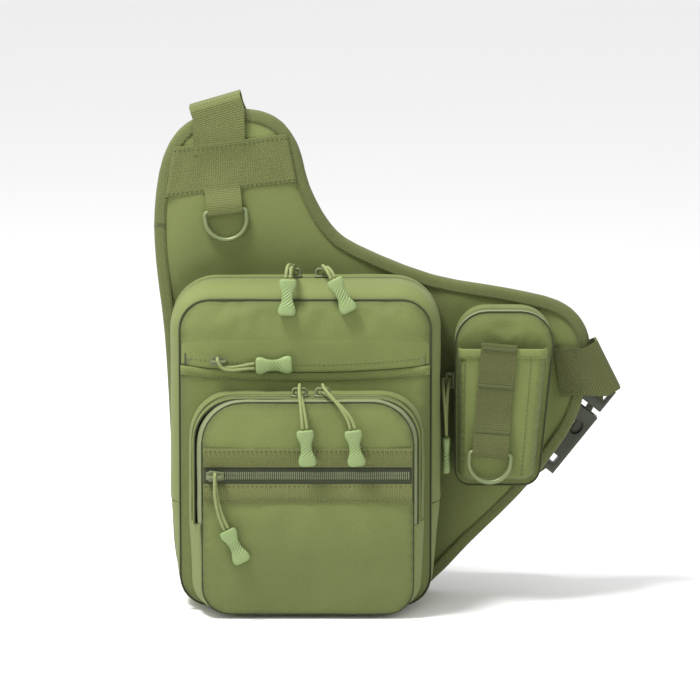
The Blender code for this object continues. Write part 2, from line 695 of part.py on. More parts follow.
def cord_loop(name, bar, axis, leave, top, run, spread):
    """A cord from the grip, round the slider's bar and back; spread separates its strands at the grip."""
    bar, axis, leave = Vector(bar), Vector(axis).normalized(), Vector(leave).normalized()
    top, run, spread = Vector(top), Vector(run).normalized(), Vector(spread)
    turn = BAR + CORD + GAP
    normal = axis.cross(leave)
    spread -= run * spread.dot(run)
    end = top - run * CORD_END
    reach = (end - bar).length
    controls = [bar, bar + leave * reach * 0.35, end - run * reach * 0.35, end]

    def centre(t):
        a, b, c, d = controls
        return a * (1 - t)**3 + b * 3 * t * (1 - t)**2 + c * 3 * t * t * (1 - t) + d * t**3

    shares = (1, 0.86, 0.7, 0.54, 0.38, 0.2)
    strands = []
    for sign in (1, -1):
        strands.append([centre(t) + sign * (normal * turn * (1 - t)**1.5 + spread * t**0.7) for t in shares])
    round_bar = []
    for angle in np.radians((90, 125, 160, 200, 235, 270)):
        round_bar.append(bar + leave * turn * math.cos(angle) + normal * turn * math.sin(angle))
    tube(name, strands[0] + round_bar + strands[1][::-1], CORD, CORD_GREEN, bar, roughness=0.8)


PULLS = (
    # name, slider base, outward, zip direction, cord leaves towards, grip top, grip run, grip face, spread
    ("main_left", (-9, 10.4, 243), (0, 0, 1), (1, 0, 0), (0, -1, 0.1),
     (-12.5, -34.5, 249), (-0.04, -0.12, -1), (0, -1, 0), (1.7, 0, 0)),
    ("main_right", (13, 10.4, 243), (0, 0, 1), (1, 0, 0), (0, -1, 0.1),
     (21, -34.5, 249), (0.5, -0.12, -1), (0, -1, 0), (1.7, 0, 0)),
    ("pocket_left", (-4, -51, 164), (0, 0, 1), (1, 0, 0), (0, -1, 0.1),
     (0, -71.5, 143), (0.08, 0.02, -1), (0, -1, 0), (1.7, 0, 0)),
    ("pocket_right", (13, -51, 164), (0, 0, 1), (1, 0, 0), (0, -1, 0.1),
     (35, -71.5, 143), (0.12, 0.02, -1), (0, -1, 0), (1.7, 0, 0)),
    ("face", (-66, -64, 107.5), (0, -1, 0), (1, 0, 0), (0, -0.2, -1),
     (-57.5, -69.5, 68), (0.5, 0, -1), (0, -1, 0), (1.7, 0, 0)),
    ("hidden", (-64, -33.1, 188), (0, -1, 0), (1, 0, 0), (0.25, -0.2, -1),
     (-36.5, -39, 185), (1, 0, 0.04), (0, -1, 0), (0, 0, 1.7)),
    ("pouch", (111, 7.4, 166), (-1, 0, 0), (0, 0, 1), (-0.1, -1, -0.25),
     (104.6, -9, 126), (0, 0.02, -1), (-1, 0, 0), (0, 1.7, 0)),
)


def pulls():
    """Every zip's slider, its cord loop and its grip."""
    for name, base, out, along, leave, top, run, face, spread in PULLS:
        bar = zip_slider(name + "_slider", base, out, along)
        grip(name + "_grip", top, run, face, bar)
        cord_loop(name + "_cord", bar, along, leave, top, run, spread)


def main():
    for obj in list(bpy.data.objects):
        bpy.data.objects.remove(obj)
    back_panel()
    main_compartment()
    front_pocket()
    side_pouch()
    top_band()
    rings_and_keepers()
    shoulder_strap()
    wing_strap()
    buckle()
    tri_glide()
    pulls()


main()
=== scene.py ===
"""The looks of the sling bag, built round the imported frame.

Lengths are in millimetres unless a name says otherwise; meshes are made in metres.
"""

import json
import math
from collections import Counter

import bmesh
import bpy
import numpy as np
from mathutils import Matrix, Vector, noise
from mathutils.geometry import delaunay_2d_cdt

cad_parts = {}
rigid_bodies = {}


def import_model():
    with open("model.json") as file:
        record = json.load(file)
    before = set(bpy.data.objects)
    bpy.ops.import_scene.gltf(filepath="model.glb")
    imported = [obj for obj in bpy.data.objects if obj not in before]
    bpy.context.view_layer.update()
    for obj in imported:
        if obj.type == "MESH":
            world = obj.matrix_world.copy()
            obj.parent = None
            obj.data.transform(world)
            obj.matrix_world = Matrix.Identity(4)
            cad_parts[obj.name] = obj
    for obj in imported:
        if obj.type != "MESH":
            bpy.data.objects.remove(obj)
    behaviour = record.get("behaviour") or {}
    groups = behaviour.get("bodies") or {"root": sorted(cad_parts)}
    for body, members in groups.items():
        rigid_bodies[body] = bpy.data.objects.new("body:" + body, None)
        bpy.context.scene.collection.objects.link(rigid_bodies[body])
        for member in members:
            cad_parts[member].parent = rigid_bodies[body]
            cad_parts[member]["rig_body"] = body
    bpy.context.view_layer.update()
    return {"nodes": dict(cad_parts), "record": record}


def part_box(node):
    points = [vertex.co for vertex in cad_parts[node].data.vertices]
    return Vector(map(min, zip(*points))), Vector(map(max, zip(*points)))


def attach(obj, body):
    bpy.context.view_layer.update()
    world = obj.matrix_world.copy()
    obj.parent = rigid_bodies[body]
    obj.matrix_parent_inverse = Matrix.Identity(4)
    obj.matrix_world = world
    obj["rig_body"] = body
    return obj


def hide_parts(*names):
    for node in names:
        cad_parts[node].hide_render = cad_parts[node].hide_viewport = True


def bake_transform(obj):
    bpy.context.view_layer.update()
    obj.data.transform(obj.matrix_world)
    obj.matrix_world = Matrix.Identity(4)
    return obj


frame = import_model()

MM = 0.001
OLIVE = (0.146, 0.178, 0.049)
PANEL_OLIVE = (0.150, 0.180, 0.052)
WEB_OLIVE = (0.122, 0.141, 0.044)
# painted shade: the webbing's olive darkened for the pouch's and wing's webbing, which lies in shade
SHADED_WEB_OLIVE = (0.088, 0.101, 0.031)
BINDING_OLIVE = (0.112, 0.132, 0.042)
# painted shade: the piping cord's near-black olive stands in for the shade in the seam's groove
SEAM_GROOVE_SHADE_OLIVE = (0.045, 0.056, 0.018)
THREAD = (0.105, 0.125, 0.040)
GRIP_GREEN = (0.222, 0.300, 0.116)
CORD_GREEN = (0.250, 0.290, 0.105)
TAPE = (0.036, 0.044, 0.020)
TAPE_EDGE = (0.175, 0.205, 0.095)
COIL = (0.120, 0.140, 0.070)
PLASTIC = (0.028, 0.034, 0.016)
SLIDER = (0.120, 0.142, 0.065)
METAL = (0.140, 0.172, 0.072)
MESH_DARK = (0.055, 0.068, 0.028)

PANEL_FRONT = 29.0
PANEL_REAR = 43.9
EDGE_PINCH = 3.6
PINCH_REACH = 26.0
THREAD_RADIUS = 0.34
STITCH_PITCH = 3.3
STITCH_LONG = 2.3
SEAM_REACH = 3.5
SEWN_REACH = 2.5
CLOTH_STIFFNESS = 15.0
CLOTH_MASS = 0.02
CLOTH_PRESSURE = 5.0
CLOTH_EXCESS = 0.012
CLOTH_FRAMES = 20
GUSSET_ROOT = 32.5
FABRIC = 1.4


# ---------------------------------------------------------------- materials

class Shade:
    """A node material under construction."""

    def __init__(self, name, colour, roughness, sheen=0.0, metallic=0.0, specular=0.4):
        self.material = bpy.data.materials.new(name)
        self.material.use_nodes = True
        self.tree = self.material.node_tree
        self.shader = self.tree.nodes["Principled BSDF"]
        self.shader.inputs["Roughness"].default_value = roughness
        self.shader.inputs["Metallic"].default_value = metallic
        self.shader.inputs["Specular IOR Level"].default_value = specular
        self.shader.inputs["Sheen Weight"].default_value = sheen
        self.shader.inputs["Sheen Roughness"].default_value = 0.45
        self.colour = colour
        self.material.diffuse_color = (*colour, 1)

    def link(self, value, socket):
        if isinstance(value, (int, float)):
            socket.default_value = value
        elif isinstance(value, tuple):
            socket.default_value = (*value, 1) if len(socket.default_value) == 4 else value
        else:
            self.tree.links.new(value, socket)

    def math(self, operation, a, b=0.0, c=0.0):
        node = self.tree.nodes.new("ShaderNodeMath")
        node.operation = operation
        for value, socket in zip((a, b, c), node.inputs):
            self.link(value, socket)
        return node.outputs[0]

    def place(self, kind="Object"):
        return self.tree.nodes.new("ShaderNodeTexCoord").outputs[kind]

    def axes(self, vector):
        node = self.tree.nodes.new("ShaderNodeSeparateXYZ")
        self.link(vector, node.inputs[0])
        return node.outputs

    def noise(self, scale, detail=2.0, kind="Object"):
        node = self.tree.nodes.new("ShaderNodeTexNoise")
        self.link(self.place(kind), node.inputs["Vector"])
        node.inputs["Scale"].default_value = scale
        node.inputs["Detail"].default_value = detail
        return node.outputs["Fac"]

    def attribute(self, name):
        node = self.tree.nodes.new("ShaderNodeAttribute")
        node.attribute_name = name
        return node.outputs["Fac"]

    def wave(self, value, pitch):
        """A sine of a coordinate with that pitch in metres, or in the UV map's millimetres."""
        return self.math("SINE", self.math("MULTIPLY", value, 2 * math.pi / pitch))

    def ramp(self, value, low, high):
        node = self.tree.nodes.new("ShaderNodeMapRange")
        for socket, number in zip(node.inputs, (value, 0.0, 1.0, low, high)):
            self.link(number, socket)
        return node.outputs[0]

    def scaled(self, colour, factor):
        node = self.tree.nodes.new("ShaderNodeVectorMath")
        node.operation = "SCALE"
        self.link(colour, node.inputs[0])
        self.link(factor, node.inputs["Scale"])
        return node.outputs[0]

    def mix(self, factor, a, b):
        node = self.tree.nodes.new("ShaderNodeMix")
        node.data_type = "RGBA"
        self.link(factor, node.inputs[0])
        self.link(a, node.inputs[6])
        self.link(b, node.inputs[7])
        return node.outputs[2]

    def bump(self, height, distance_mm, strength=1.0, under=None):
        node = self.tree.nodes.new("ShaderNodeBump")
        node.inputs["Strength"].default_value = strength
        node.inputs["Distance"].default_value = distance_mm * MM
        self.link(height, node.inputs["Height"])
        if under is not None:
            self.link(under, node.inputs["Normal"])
        return node.outputs[0]

    def finish(self, colour, normal=None, roughness=None):
        self.link(colour, self.shader.inputs["Base Color"])
        if normal is not None:
            self.link(normal, self.shader.inputs["Normal"])
        if roughness is not None:
            self.link(roughness, self.shader.inputs["Roughness"])
        return self.material


def box_weave(shade, pitch_mm):
    """A plain weave in the plane that the surface faces, from 0 to 1."""
    waves = [shade.wave(axis, pitch_mm * MM) for axis in shade.axes(shade.place())]
    facing = [shade.math("POWER", shade.math("ABSOLUTE", n), 4.0) for n in shade.axes(shade.place("Normal"))]
    total = shade.math("ADD", shade.math("ADD", facing[0], facing[1]), facing[2])
    height = None
    for i, (a, b) in enumerate(((1, 2), (0, 2), (0, 1))):
        part = shade.math("MULTIPLY", shade.math("MULTIPLY", waves[a], waves[b]), facing[i])
        height = part if height is None else shade.math("ADD", height, part)
    return shade.math("MULTIPLY_ADD", shade.math("DIVIDE", height, total), 0.5, 0.5)


def fabric(name, colour, pitch_mm=1.15, sheen=0.05):
    """Coated oxford cloth: plain weave, mottled yarn, soft grime and painted shade along seams and paler worn
    ridges.
    """
    shade = Shade(name, colour, 0.78, sheen)
    weave = box_weave(shade, pitch_mm)
    yarn = shade.noise(1500, 3.0)
    cloud = shade.noise(14, 3.0)
    tone = shade.math("MULTIPLY", shade.ramp(weave, 0.90, 1.08), shade.ramp(yarn, 0.72, 1.28))
    tone = shade.math("MULTIPLY", tone, shade.ramp(cloud, 0.90, 1.12))
    # darker along the seams: grime and painted shade together
    tone = shade.math("MULTIPLY", tone, shade.ramp(shade.attribute("seam"), 1.0, 0.62))
    tone = shade.math("MULTIPLY", tone, shade.ramp(shade.attribute("worn"), 1.0, 1.22))
    folds = shade.bump(shade.noise(70, 4.0), 0.9, 0.35)
    normal = shade.bump(weave, 0.28, 0.7, shade.bump(yarn, 0.10, 0.6, folds))
    return shade.finish(shade.scaled(colour, tone), normal, shade.ramp(yarn, 0.70, 0.88))


def webbing(name, colour, rib=1.7, cord=2.6):
    """Ribbed webbing from a UV map in millimetres: weft ribs broken by warp cords, speckled yarn."""
    shade = Shade(name, colour, 0.85, 0.04)
    u, v, _ = shade.axes(shade.place("UV"))
    stagger = shade.math("MULTIPLY", shade.wave(u, cord), 1.3)
    angle = shade.math("ADD", shade.math("MULTIPLY", v, 2 * math.pi / rib), stagger)
    ribs = shade.math("MULTIPLY_ADD", shade.math("SINE", angle), 0.5, 0.5)
    warp = shade.math("MULTIPLY_ADD", shade.wave(u, cord / 2), 0.5, 0.5)
    height = shade.math("ADD", shade.math("MULTIPLY", ribs, 0.7), shade.math("MULTIPLY", warp, 0.3))
    speckle = shade.noise(1100, 3.0)
    tone = shade.math("MULTIPLY", shade.ramp(height, 0.70, 1.18), shade.ramp(speckle, 0.62, 1.38))
    tone = shade.math("MULTIPLY", tone, shade.ramp(shade.noise(30, 2.0), 0.88, 1.12))
    brown = shade.mix(shade.noise(420, 2.0), colour, tuple(c * k for c, k in zip(colour, (1.08, 1.0, 0.93))))
    normal = shade.bump(height, 0.5, 0.8, shade.bump(speckle, 0.2, 0.5))
    return shade.finish(shade.scaled(brown, tone), normal)


def braid(name, colour):
    """Braided cord from a UV map: diamonds of yarn round the cord."""
    shade = Shade(name, colour, 0.75, 0.05)
    u, v, _ = shade.axes(shade.place("UV"))
    one = shade.wave(shade.math("ADD", u, v), 1.9)
    two = shade.wave(shade.math("SUBTRACT", u, v), 1.9)
    height = shade.math("MULTIPLY_ADD", shade.math("MULTIPLY", one, two), 0.5, 0.5)
    tone = shade.math("MULTIPLY", shade.ramp(height, 0.62, 1.18), shade.ramp(shade.noise(1800), 0.8, 1.2))
    return shade.finish(shade.scaled(colour, tone), shade.bump(height, 0.4, 0.8))


def moulded(name, colour, roughness, grain=0.05, metallic=0.0):
    """Moulded plastic, rubber or coated metal: fine grain, rubbed lighter on its edges."""
    shade = Shade(name, colour, roughness, metallic=metallic, specular=0.5)
    pits = shade.noise(2600, 3.0)
    cloud = shade.noise(60, 3.0)
    edge = shade.tree.nodes.new("ShaderNodeNewGeometry").outputs["Pointiness"]
    rub = shade.math("SMOOTH_MAX", shade.math("MULTIPLY_ADD", edge, 9.0, -4.65), 0.0, 0.05)
    tone = shade.math("MULTIPLY", shade.ramp(pits, 0.9, 1.1), shade.ramp(cloud, 0.86, 1.14))
    tone = shade.math("ADD", tone, shade.math("MINIMUM", rub, 0.35))
    return shade.finish(shade.scaled(colour, tone), shade.bump(pits, grain, 0.6),
                        shade.ramp(cloud, roughness - 0.08, roughness + 0.1))


def grip_rubber(name, colour):
    """Soft rubber with diagonal ridges moulded into the waist."""
    shade = Shade(name, colour, 0.5, specular=0.35)
    u, v, _ = shade.axes(shade.place("UV"))
    ridge = shade.math("MULTIPLY_ADD", shade.wave(shade.math("ADD", u, v), 2.5), 0.5, 0.5)
    off = shade.math("ABSOLUTE", shade.math("SUBTRACT", v, 13.5))
    waist = shade.math("SUBTRACT", 1.0, shade.math("SMOOTH_MIN", shade.math("DIVIDE", off, 8.5), 1.0, 0.2))
    height = shade.math("MULTIPLY", ridge, waist)
    grain = shade.noise(2200)
    tone = shade.math("MULTIPLY", shade.ramp(height, 0.92, 1.25), shade.ramp(grain, 0.88, 1.12))
    normal = shade.bump(height, 1.2, 0.9, shade.bump(grain, 0.06, 0.5))
    return shade.finish(shade.scaled(colour, tone), normal)


def coil_tape(name, colour):
    """Woven zip tape with a fine twill."""
    shade = Shade(name, colour, 0.8, 0.1)
    weave = box_weave(shade, 0.8)
    grain = shade.noise(1600, 2.0)
    tone = shade.math("MULTIPLY", shade.ramp(weave, 0.8, 1.15), shade.ramp(grain, 0.75, 1.25))
    return shade.finish(shade.scaled(colour, tone), shade.bump(weave, 0.2, 0.7))


def spacer_mesh(name, colour):
    """Open spacer mesh: round holes in a knitted face."""
    shade = Shade(name, colour, 0.9, 0.3)
    x, _, z = shade.axes(shade.place())
    pitch = 3.4 * MM
    row = shade.math("MULTIPLY", shade.wave(shade.math("ADD", x, z), pitch),
                     shade.wave(shade.math("SUBTRACT", x, z), pitch))
    hole = shade.math("MULTIPLY_ADD", row, 0.5, 0.5)
    # the pattern of holes is the mesh's own; they are drawn darker as painted shade in the hollows of the
    # knit
    tone = shade.math("MULTIPLY", shade.ramp(hole, 0.25, 1.5), shade.ramp(shade.noise(1500), 0.8, 1.2))
    return shade.finish(shade.scaled(colour, tone), shade.bump(hole, 1.2, 0.9))


CLOTH = fabric("oxford_olive", OLIVE)
PANEL_CLOTH = fabric("oxford_panel", PANEL_OLIVE, 1.2)
WEBBING = webbing("webbing_olive", WEB_OLIVE)
# a painted-shade copy of the webbing, darker, for the pouch and the wing
SHADED_WEBBING = webbing("webbing_painted_shade", SHADED_WEB_OLIVE)
BINDING = webbing("binding_tape", BINDING_OLIVE, 1.3, 1.9)
CORD_BRAID = braid("pull_cord_braid", CORD_GREEN)
RUBBER = grip_rubber("grip_rubber", GRIP_GREEN)
ZIP_TAPE = coil_tape("zip_tape", TAPE)
TAPE_BAND = coil_tape("zip_tape_edge", TAPE_EDGE)
PIPING_GROOVE_SHADE = webbing("seam_cord_groove_shade", SEAM_GROOVE_SHADE_OLIVE, 1.1, 1.4)
ZIP_COIL = moulded("zip_coil", COIL, 0.5)
BLACK_PLASTIC = moulded("buckle_plastic", PLASTIC, 0.45, 0.08)
SLIDER_PAINT = moulded("slider_paint", SLIDER, 0.4, 0.03, 0.2)
RING_PAINT = moulded("ring_paint", METAL, 0.4, 0.03, 0.25)
STITCH = braid("thread", THREAD)
SPACER = spacer_mesh("spacer_mesh", MESH_DARK)


# ---------------------------------------------------------------- geometry helpers

JOINTS = {joint["name"]: joint for joint in frame["record"]["behaviour"]["joints"]}


def pivot(joint):
    """A point on a joint's axis, in millimetres."""
    return Vector(JOINTS[joint]["pos_m"]) / MM


def arc(x, z, radius, start, end, steps):
    """Points of an arc about (x, z), between two angles in degrees."""
    angles = np.radians(np.linspace(start, end, steps + 1))
    return [(x + radius * math.cos(a), z + radius * math.sin(a)) for a in angles]


def arch(left, right, low, top, corner):
    """An upside-down U of (x, z) points."""
    over = arc(left + corner, top - corner, corner, 180, 90, 16)
    down = arc(right - corner, top - corner, corner, 90, 0, 16)
    return [(left, low), *over, *down, (right, low)]


def trough(left, right, high, bottom, corner, toe):
    """A U of (x, z) points, narrower at the foot by toe on each side."""
    under = arc(left + toe + corner, bottom + corner, corner, 180, 270, 14)
    rise = arc(right - toe - corner, bottom + corner, corner, 270, 360, 14)
    return [(left, high), *under, *rise, (right, high)]


def resample(path, count, closed=False):
    """The path again as count evenly spaced points."""
    path = np.array(path, float)
    if closed:
        path = np.vstack([path, path[:1]])
    along = np.concatenate([[0], np.cumsum(np.linalg.norm(np.diff(path, axis=0), axis=1))])
    at = np.linspace(0, along[-1], count + 1)[:count] if closed else np.linspace(0, along[-1], count)
    return np.stack([np.interp(at, along, path[:, k]) for k in range(path.shape[1])], axis=1)


def length_of(path):
    """The length of a path of points."""
    return float(np.linalg.norm(np.diff(np.array(path, float), axis=0), axis=1).sum())


def inset(curve, distance):
    """A closed anticlockwise curve of (x, z) points moved inwards."""
    curve = np.array(curve, float)
    run = np.roll(curve, -1, 0) - np.roll(curve, 1, 0)
    run /= np.linalg.norm(run, axis=1, keepdims=True)
    return curve + distance * np.stack([-run[:, 1], run[:, 0]], axis=1)


def anticlockwise(curve):
    """A closed curve of (x, z) points, turned round if it ran clockwise."""
    curve = np.array(curve, float)
    x, z = curve[:, 0], curve[:, 1]
    area = (x * np.roll(z, -1) - np.roll(x, -1) * z).sum()
    return curve if area > 0 else curve[::-1]


def outline_of(node, count):
    """The edge of a flat CAD piece's front face, evenly spaced and anticlockwise, in millimetres."""
    mesh = frame["nodes"][node].data
    near = min(v.co.y for v in mesh.vertices)
    edges = Counter()
    for polygon in mesh.polygons:
        corners = [mesh.vertices[i].co for i in polygon.vertices]
        if all(abs(c.y - near) < 1e-5 for c in corners):
            keys = [(round(c.x, 5), round(c.z, 5)) for c in corners]
            edges.update(zip(keys, keys[1:] + keys[:1]))
    following = {a: b for a, b in edges if (b, a) not in edges}
    start = min(following)
    walk = [start]
    while following[walk[-1]] != start:
        walk.append(following[walk[-1]])
    return resample(anticlockwise(np.array(walk) / MM), count, closed=True)


def distance_to(points, curve):
    """Each point's distance to a closed curve."""
    a, b = np.array(curve, float), np.roll(np.array(curve, float), -1, 0)
    best = np.full(len(points), np.inf)
    for p, q in zip(a, b):
        d = q - p
        t = np.clip(((points - p) @ d) / max(d @ d, 1e-12), 0, 1)
        best = np.minimum(best, np.linalg.norm(points - p - t[:, None] * d, axis=1))
    return best


def wrinkle(x, y, z, size, seed=0.0):
    """Smooth noise about 0 with features of that size."""
    return noise.noise(Vector((x / size + seed, y / size - seed, z / size + 2 * seed)))


def mesh_object(name, points, faces, material, uvs=None):
    """A smooth-shaded object from points in millimetres."""
    mesh = bpy.data.meshes.new(name)
    mesh.from_pydata([Vector(p) * MM for p in points], [], faces)
    if uvs is not None:
        layer = mesh.uv_layers.new(name="UVMap")
        for loop in mesh.loops:
            layer.data[loop.index].uv = uvs[loop.vertex_index]
    mesh.validate()
    obj = bpy.data.objects.new(name, mesh)
    bpy.context.scene.collection.objects.link(obj)
    mesh.materials.append(material)
    mesh.shade_smooth()
    return obj


def settle(obj, body, *nodes, slot=None):
    """The piece rides on its body and stands for the CAD nodes."""
    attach(obj, body)
    if nodes:
        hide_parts(*nodes)
    return obj


def mark(obj, name, values):
    """Writes a point attribute that the fabric materials read."""
    attribute = obj.data.attributes.get(name) or obj.data.attributes.new(name, "FLOAT", "POINT")
    attribute.data.foreach_set("value", np.array(values, np.float32))


def modifier(obj, kind, **values):
    """A new modifier with its settings."""
    made = obj.modifiers.new(kind.lower(), kind)
    for key, value in values.items():
        setattr(made, key, value)
    return made


def applied(obj):
    """The object with its modifiers applied."""
    graph = bpy.context.evaluated_depsgraph_get()
    mesh = bpy.data.meshes.new_from_object(obj.evaluated_get(graph))
    obj.modifiers.clear()
    obj.data = mesh
    return obj


def thicken(obj, thick, offset=-1.0):
    """A sheet made solid, to its rear unless the offset says otherwise."""
    modifier(obj, "SOLIDIFY", thickness=thick * MM, offset=offset, use_even_offset=True)
    return applied(obj)


def fabric_face(obj, thick=1.0):
    """A sheet thickened to the rear and smoothed."""
    modifier(obj, "SOLIDIFY", thickness=thick * MM, offset=-1.0)
    modifier(obj, "SUBSURF", levels=1, render_levels=1)
    return applied(obj)


def grid(name, rows, material, close_across=False, close_along=False):
    """A smooth sheet through rows of points, with a UV map of millimetres across and along."""
    rows = [np.array(r, float) for r in rows]
    count = len(rows[0])
    points = np.vstack(rows)
    across = np.concatenate([[0], np.cumsum(np.linalg.norm(np.diff(rows[0], axis=0), axis=1))])
    middles = np.array([r.mean(0) if close_across else r[count // 2] for r in rows])
    along = np.concatenate([[0], np.cumsum(np.linalg.norm(np.diff(middles, axis=0), axis=1))])
    uvs = [(u, v) for v in along for u in across]
    faces = []
    for r in range(len(rows) - (not close_along)):
        s = (r + 1) % len(rows)
        for c in range(count - (not close_across)):
            d = (c + 1) % count
            faces.append([r * count + c, r * count + d, s * count + d, s * count + c])
    return mesh_object(name, points, faces, material, uvs)


def face_sheet(name, outline, spacing, height, material, front=True):
    """A sheet inside an outline; height(x, z, depth) gives y, where depth is the way in from the edge."""
    outline = anticlockwise(outline)
    low, high = outline.min(0), outline.max(0)
    xs, zs = np.arange(low[0], high[0], spacing), np.arange(low[1], high[1], spacing * 0.87)
    inner = np.array([(x + (i % 2) * spacing / 2, z) for i, z in enumerate(zs) for x in xs])
    ax, az = outline[:, 0], outline[:, 1]
    bx, bz = np.roll(ax, -1), np.roll(az, -1)
    crossing = (az[None] > inner[:, 1:]) != (bz[None] > inner[:, 1:])
    with np.errstate(divide="ignore", invalid="ignore"):
        at = (bx - ax) * (inner[:, 1:] - az) / (bz - az) + ax
    inside = (crossing & (inner[:, :1] < at)).sum(1) % 2 == 1
    inner = inner[inside]
    inner = inner[distance_to(inner, outline) > spacing * 0.55]
    points = np.vstack([outline, inner])
    count = len(outline)
    made = delaunay_2d_cdt([Vector(p) for p in points], [], [list(range(count))], 1, 1e-6)
    flat = np.array([tuple(p) for p in made[0]])
    depth = distance_to(flat, outline)
    solid = [(x, height(x, z, d), z) for (x, z), d in zip(flat, depth)]
    obj = mesh_object(name, solid, [list(f) for f in made[2]], material, [tuple(p) for p in flat])
    face_towards(obj, front)
    # darker towards the edge: grime and painted shade along the seam
    mark(obj, "seam", np.exp(-depth / SEAM_REACH))
    return obj, flat, depth


def face_towards(obj, front):
    """Turns a sheet's faces to the front or the rear."""
    total = sum(p.normal.y * p.area for p in obj.data.polygons)
    if (total < 0) != front:
        obj.data.flip_normals()


def puff(obj, depth, cap):
    """Cloth simulation: filling presses a full sheet out between the places where it is sewn down.

    depth is how far each point lies from a seam, and cap is how far the fullest point may move.
    """
    group = obj.vertex_groups.new(name="pinned")
    for i, d in enumerate(depth):
        weight = max(0.0, min(1.0, 1.5 - d / SEWN_REACH))
        if weight:
            group.add([i], weight, "REPLACE")
    cloth = modifier(obj, "CLOTH")
    settings = cloth.settings
    settings.quality = 6
    settings.mass = CLOTH_MASS
    settings.tension_stiffness = CLOTH_STIFFNESS
    settings.compression_stiffness = CLOTH_STIFFNESS
    settings.bending_stiffness = 0.8
    settings.use_pressure = True
    settings.uniform_pressure_force = CLOTH_PRESSURE
    settings.shrink_min = -CLOTH_EXCESS
    settings.vertex_group_mass = "pinned"
    settings.effector_weights.gravity = 0.0
    scene = bpy.context.scene
    for step in range(1, CLOTH_FRAMES + 1):
        scene.frame_set(step)
    graph = bpy.context.evaluated_depsgraph_get()
    moved = np.array([v.co for v in obj.evaluated_get(graph).data.vertices])
    rest = np.array([v.co for v in obj.data.vertices])
    shift = moved - rest
    shift *= min(1.0, cap * MM / max(np.linalg.norm(shift, axis=1).max(), 1e-9))
    obj.modifiers.clear()
    obj.data.vertices.foreach_set("co", (rest + shift).astype(np.float32).ravel())
    obj.data.update()
    scene.frame_set(1)


def close_up(obj):
    """Caps a mesh's open ends and turns its faces outwards."""
    shape = bmesh.new()
    shape.from_mesh(obj.data)
    bmesh.ops.holes_fill(shape, edges=[e for e in shape.edges if e.is_boundary])
    bmesh.ops.recalc_face_normals(shape, faces=shape.faces)
    shape.to_mesh(obj.data)
    shape.free()


def threads(name, material, body, spines, radius, sides=6):
    """Many short closed tubes in one piece; a spine is (side, up, stations of (centre, size))."""
    points, faces, uvs = [], [], []
    for side, up, stations in spines:
        start, last = len(points), len(stations) - 1
        for r, (centre, size) in enumerate(stations):
            for k in range(sides):
                a = 2 * math.pi * k / sides
                points.append(centre + (side * math.cos(a) + up * math.sin(a)) * radius * size)
                along = (centre - stations[last // 2][0]).length
                uvs.append((k * radius, math.copysign(along, r - last / 2)))
        for r in range(last):
            for k in range(sides):
                m = (k + 1) % sides
                faces.append([start + r * sides + k, start + r * sides + m,
                              start + (r + 1) * sides + m, start + (r + 1) * sides + k])
        faces.append([start + k for k in range(sides)][::-1])
        faces.append([start + last * sides + k for k in range(sides)])
    obj = mesh_object(name, points, faces, material, uvs)
    close_up(obj)
    return settle(obj, body)


def tube(name, path, radius, material, sides=8, closed=False):
    """A round tube along a path, with a UV map of millimetres round and along."""
    path = np.array(path, float)
    count = len(path)
    rings = []
    normal = None
    for i in range(count):
        if closed:
            run = path[(i + 1) % count] - path[i - 1]
        else:
            run = path[min(i + 1, count - 1)] - path[max(i - 1, 0)]
        run = Vector(run).normalized()
        if normal is None:
            normal = run.orthogonal().normalized()
        normal = (normal - run * normal.dot(run)).normalized()
        side = run.cross(normal)
        rings.append([Vector(path[i]) + (normal * math.cos(a) + side * math.sin(a)) * radius
                      for a in np.linspace(0, 2 * math.pi, sides, endpoint=False)])
    obj = grid(name, rings, material, close_across=True, close_along=closed)
    if not closed:
        close_up(obj)
    return obj


def stitches(name, path, body, lift=(0, -1, 0), closed=False):
    """Separate thread stitches lying along a path."""
    path = np.array(path, float)
    total = length_of(path) + (np.linalg.norm(path[0] - path[-1]) if closed else 0)
    count = max(2, int(total / STITCH_PITCH))
    middles = resample(path, count, closed)
    up = Vector(lift).normalized()
    spines = []
    for i in range(count):
        ahead = middles[(i + 1) % count] if closed or i + 1 < count else middles[i]
        behind = middles[i - 1] if closed or i > 0 else middles[i]
        run = Vector(ahead - behind).normalized()
        stations = []
        for along, size in ((-0.5, 0.25), (-0.34, 0.9), (0, 1.05), (0.34, 0.9), (0.5, 0.25)):
            sink = -THREAD_RADIUS * 1.1 * (2 * abs(along)) ** 3
            stations.append((Vector(middles[i]) + run * (along * STITCH_LONG) + up * sink, size))
        spines.append((run.cross(up).normalized(), up, stations))
    return threads(name, STITCH, body, spines, THREAD_RADIUS)


def refined(node, bevel, material, slot):
    """A CAD piece's own shape with its edges rounded."""
    shape = bmesh.new()
    shape.from_mesh(frame["nodes"][node].data)
    bmesh.ops.remove_doubles(shape, verts=shape.verts, dist=1e-5)
    bmesh.ops.dissolve_limit(shape, angle_limit=math.radians(3), verts=shape.verts, edges=shape.edges)
    mesh = bpy.data.meshes.new(node + "_shell")
    shape.to_mesh(mesh)
    shape.free()
    obj = bpy.data.objects.new(node + "_shell", mesh)
    bpy.context.scene.collection.objects.link(obj)
    mesh.materials.clear()
    mesh.materials.append(material)
    modifier(obj, "BEVEL", width=bevel * MM, segments=3, limit_method="ANGLE", angle_limit=math.radians(28))
    applied(obj)
    obj.data.shade_smooth()
    obj.data.set_sharp_from_angle(angle=math.radians(50))
    body = frame["nodes"][node]["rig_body"]
    return settle(obj, body, node, slot=slot)


# ---------------------------------------------------------------- back panel and wing

EDGE = outline_of("edge_binding", 300)
MAIN_SIDES = (-99, 99, 242, 34)
POUCH_SIDES = (112, 183, 219, 24)


def pinched(depth):
    """How far the padding is drawn in at that distance from the panel's edge."""
    return EDGE_PINCH * np.maximum(0.0, 1 - depth / PINCH_REACH) ** 2


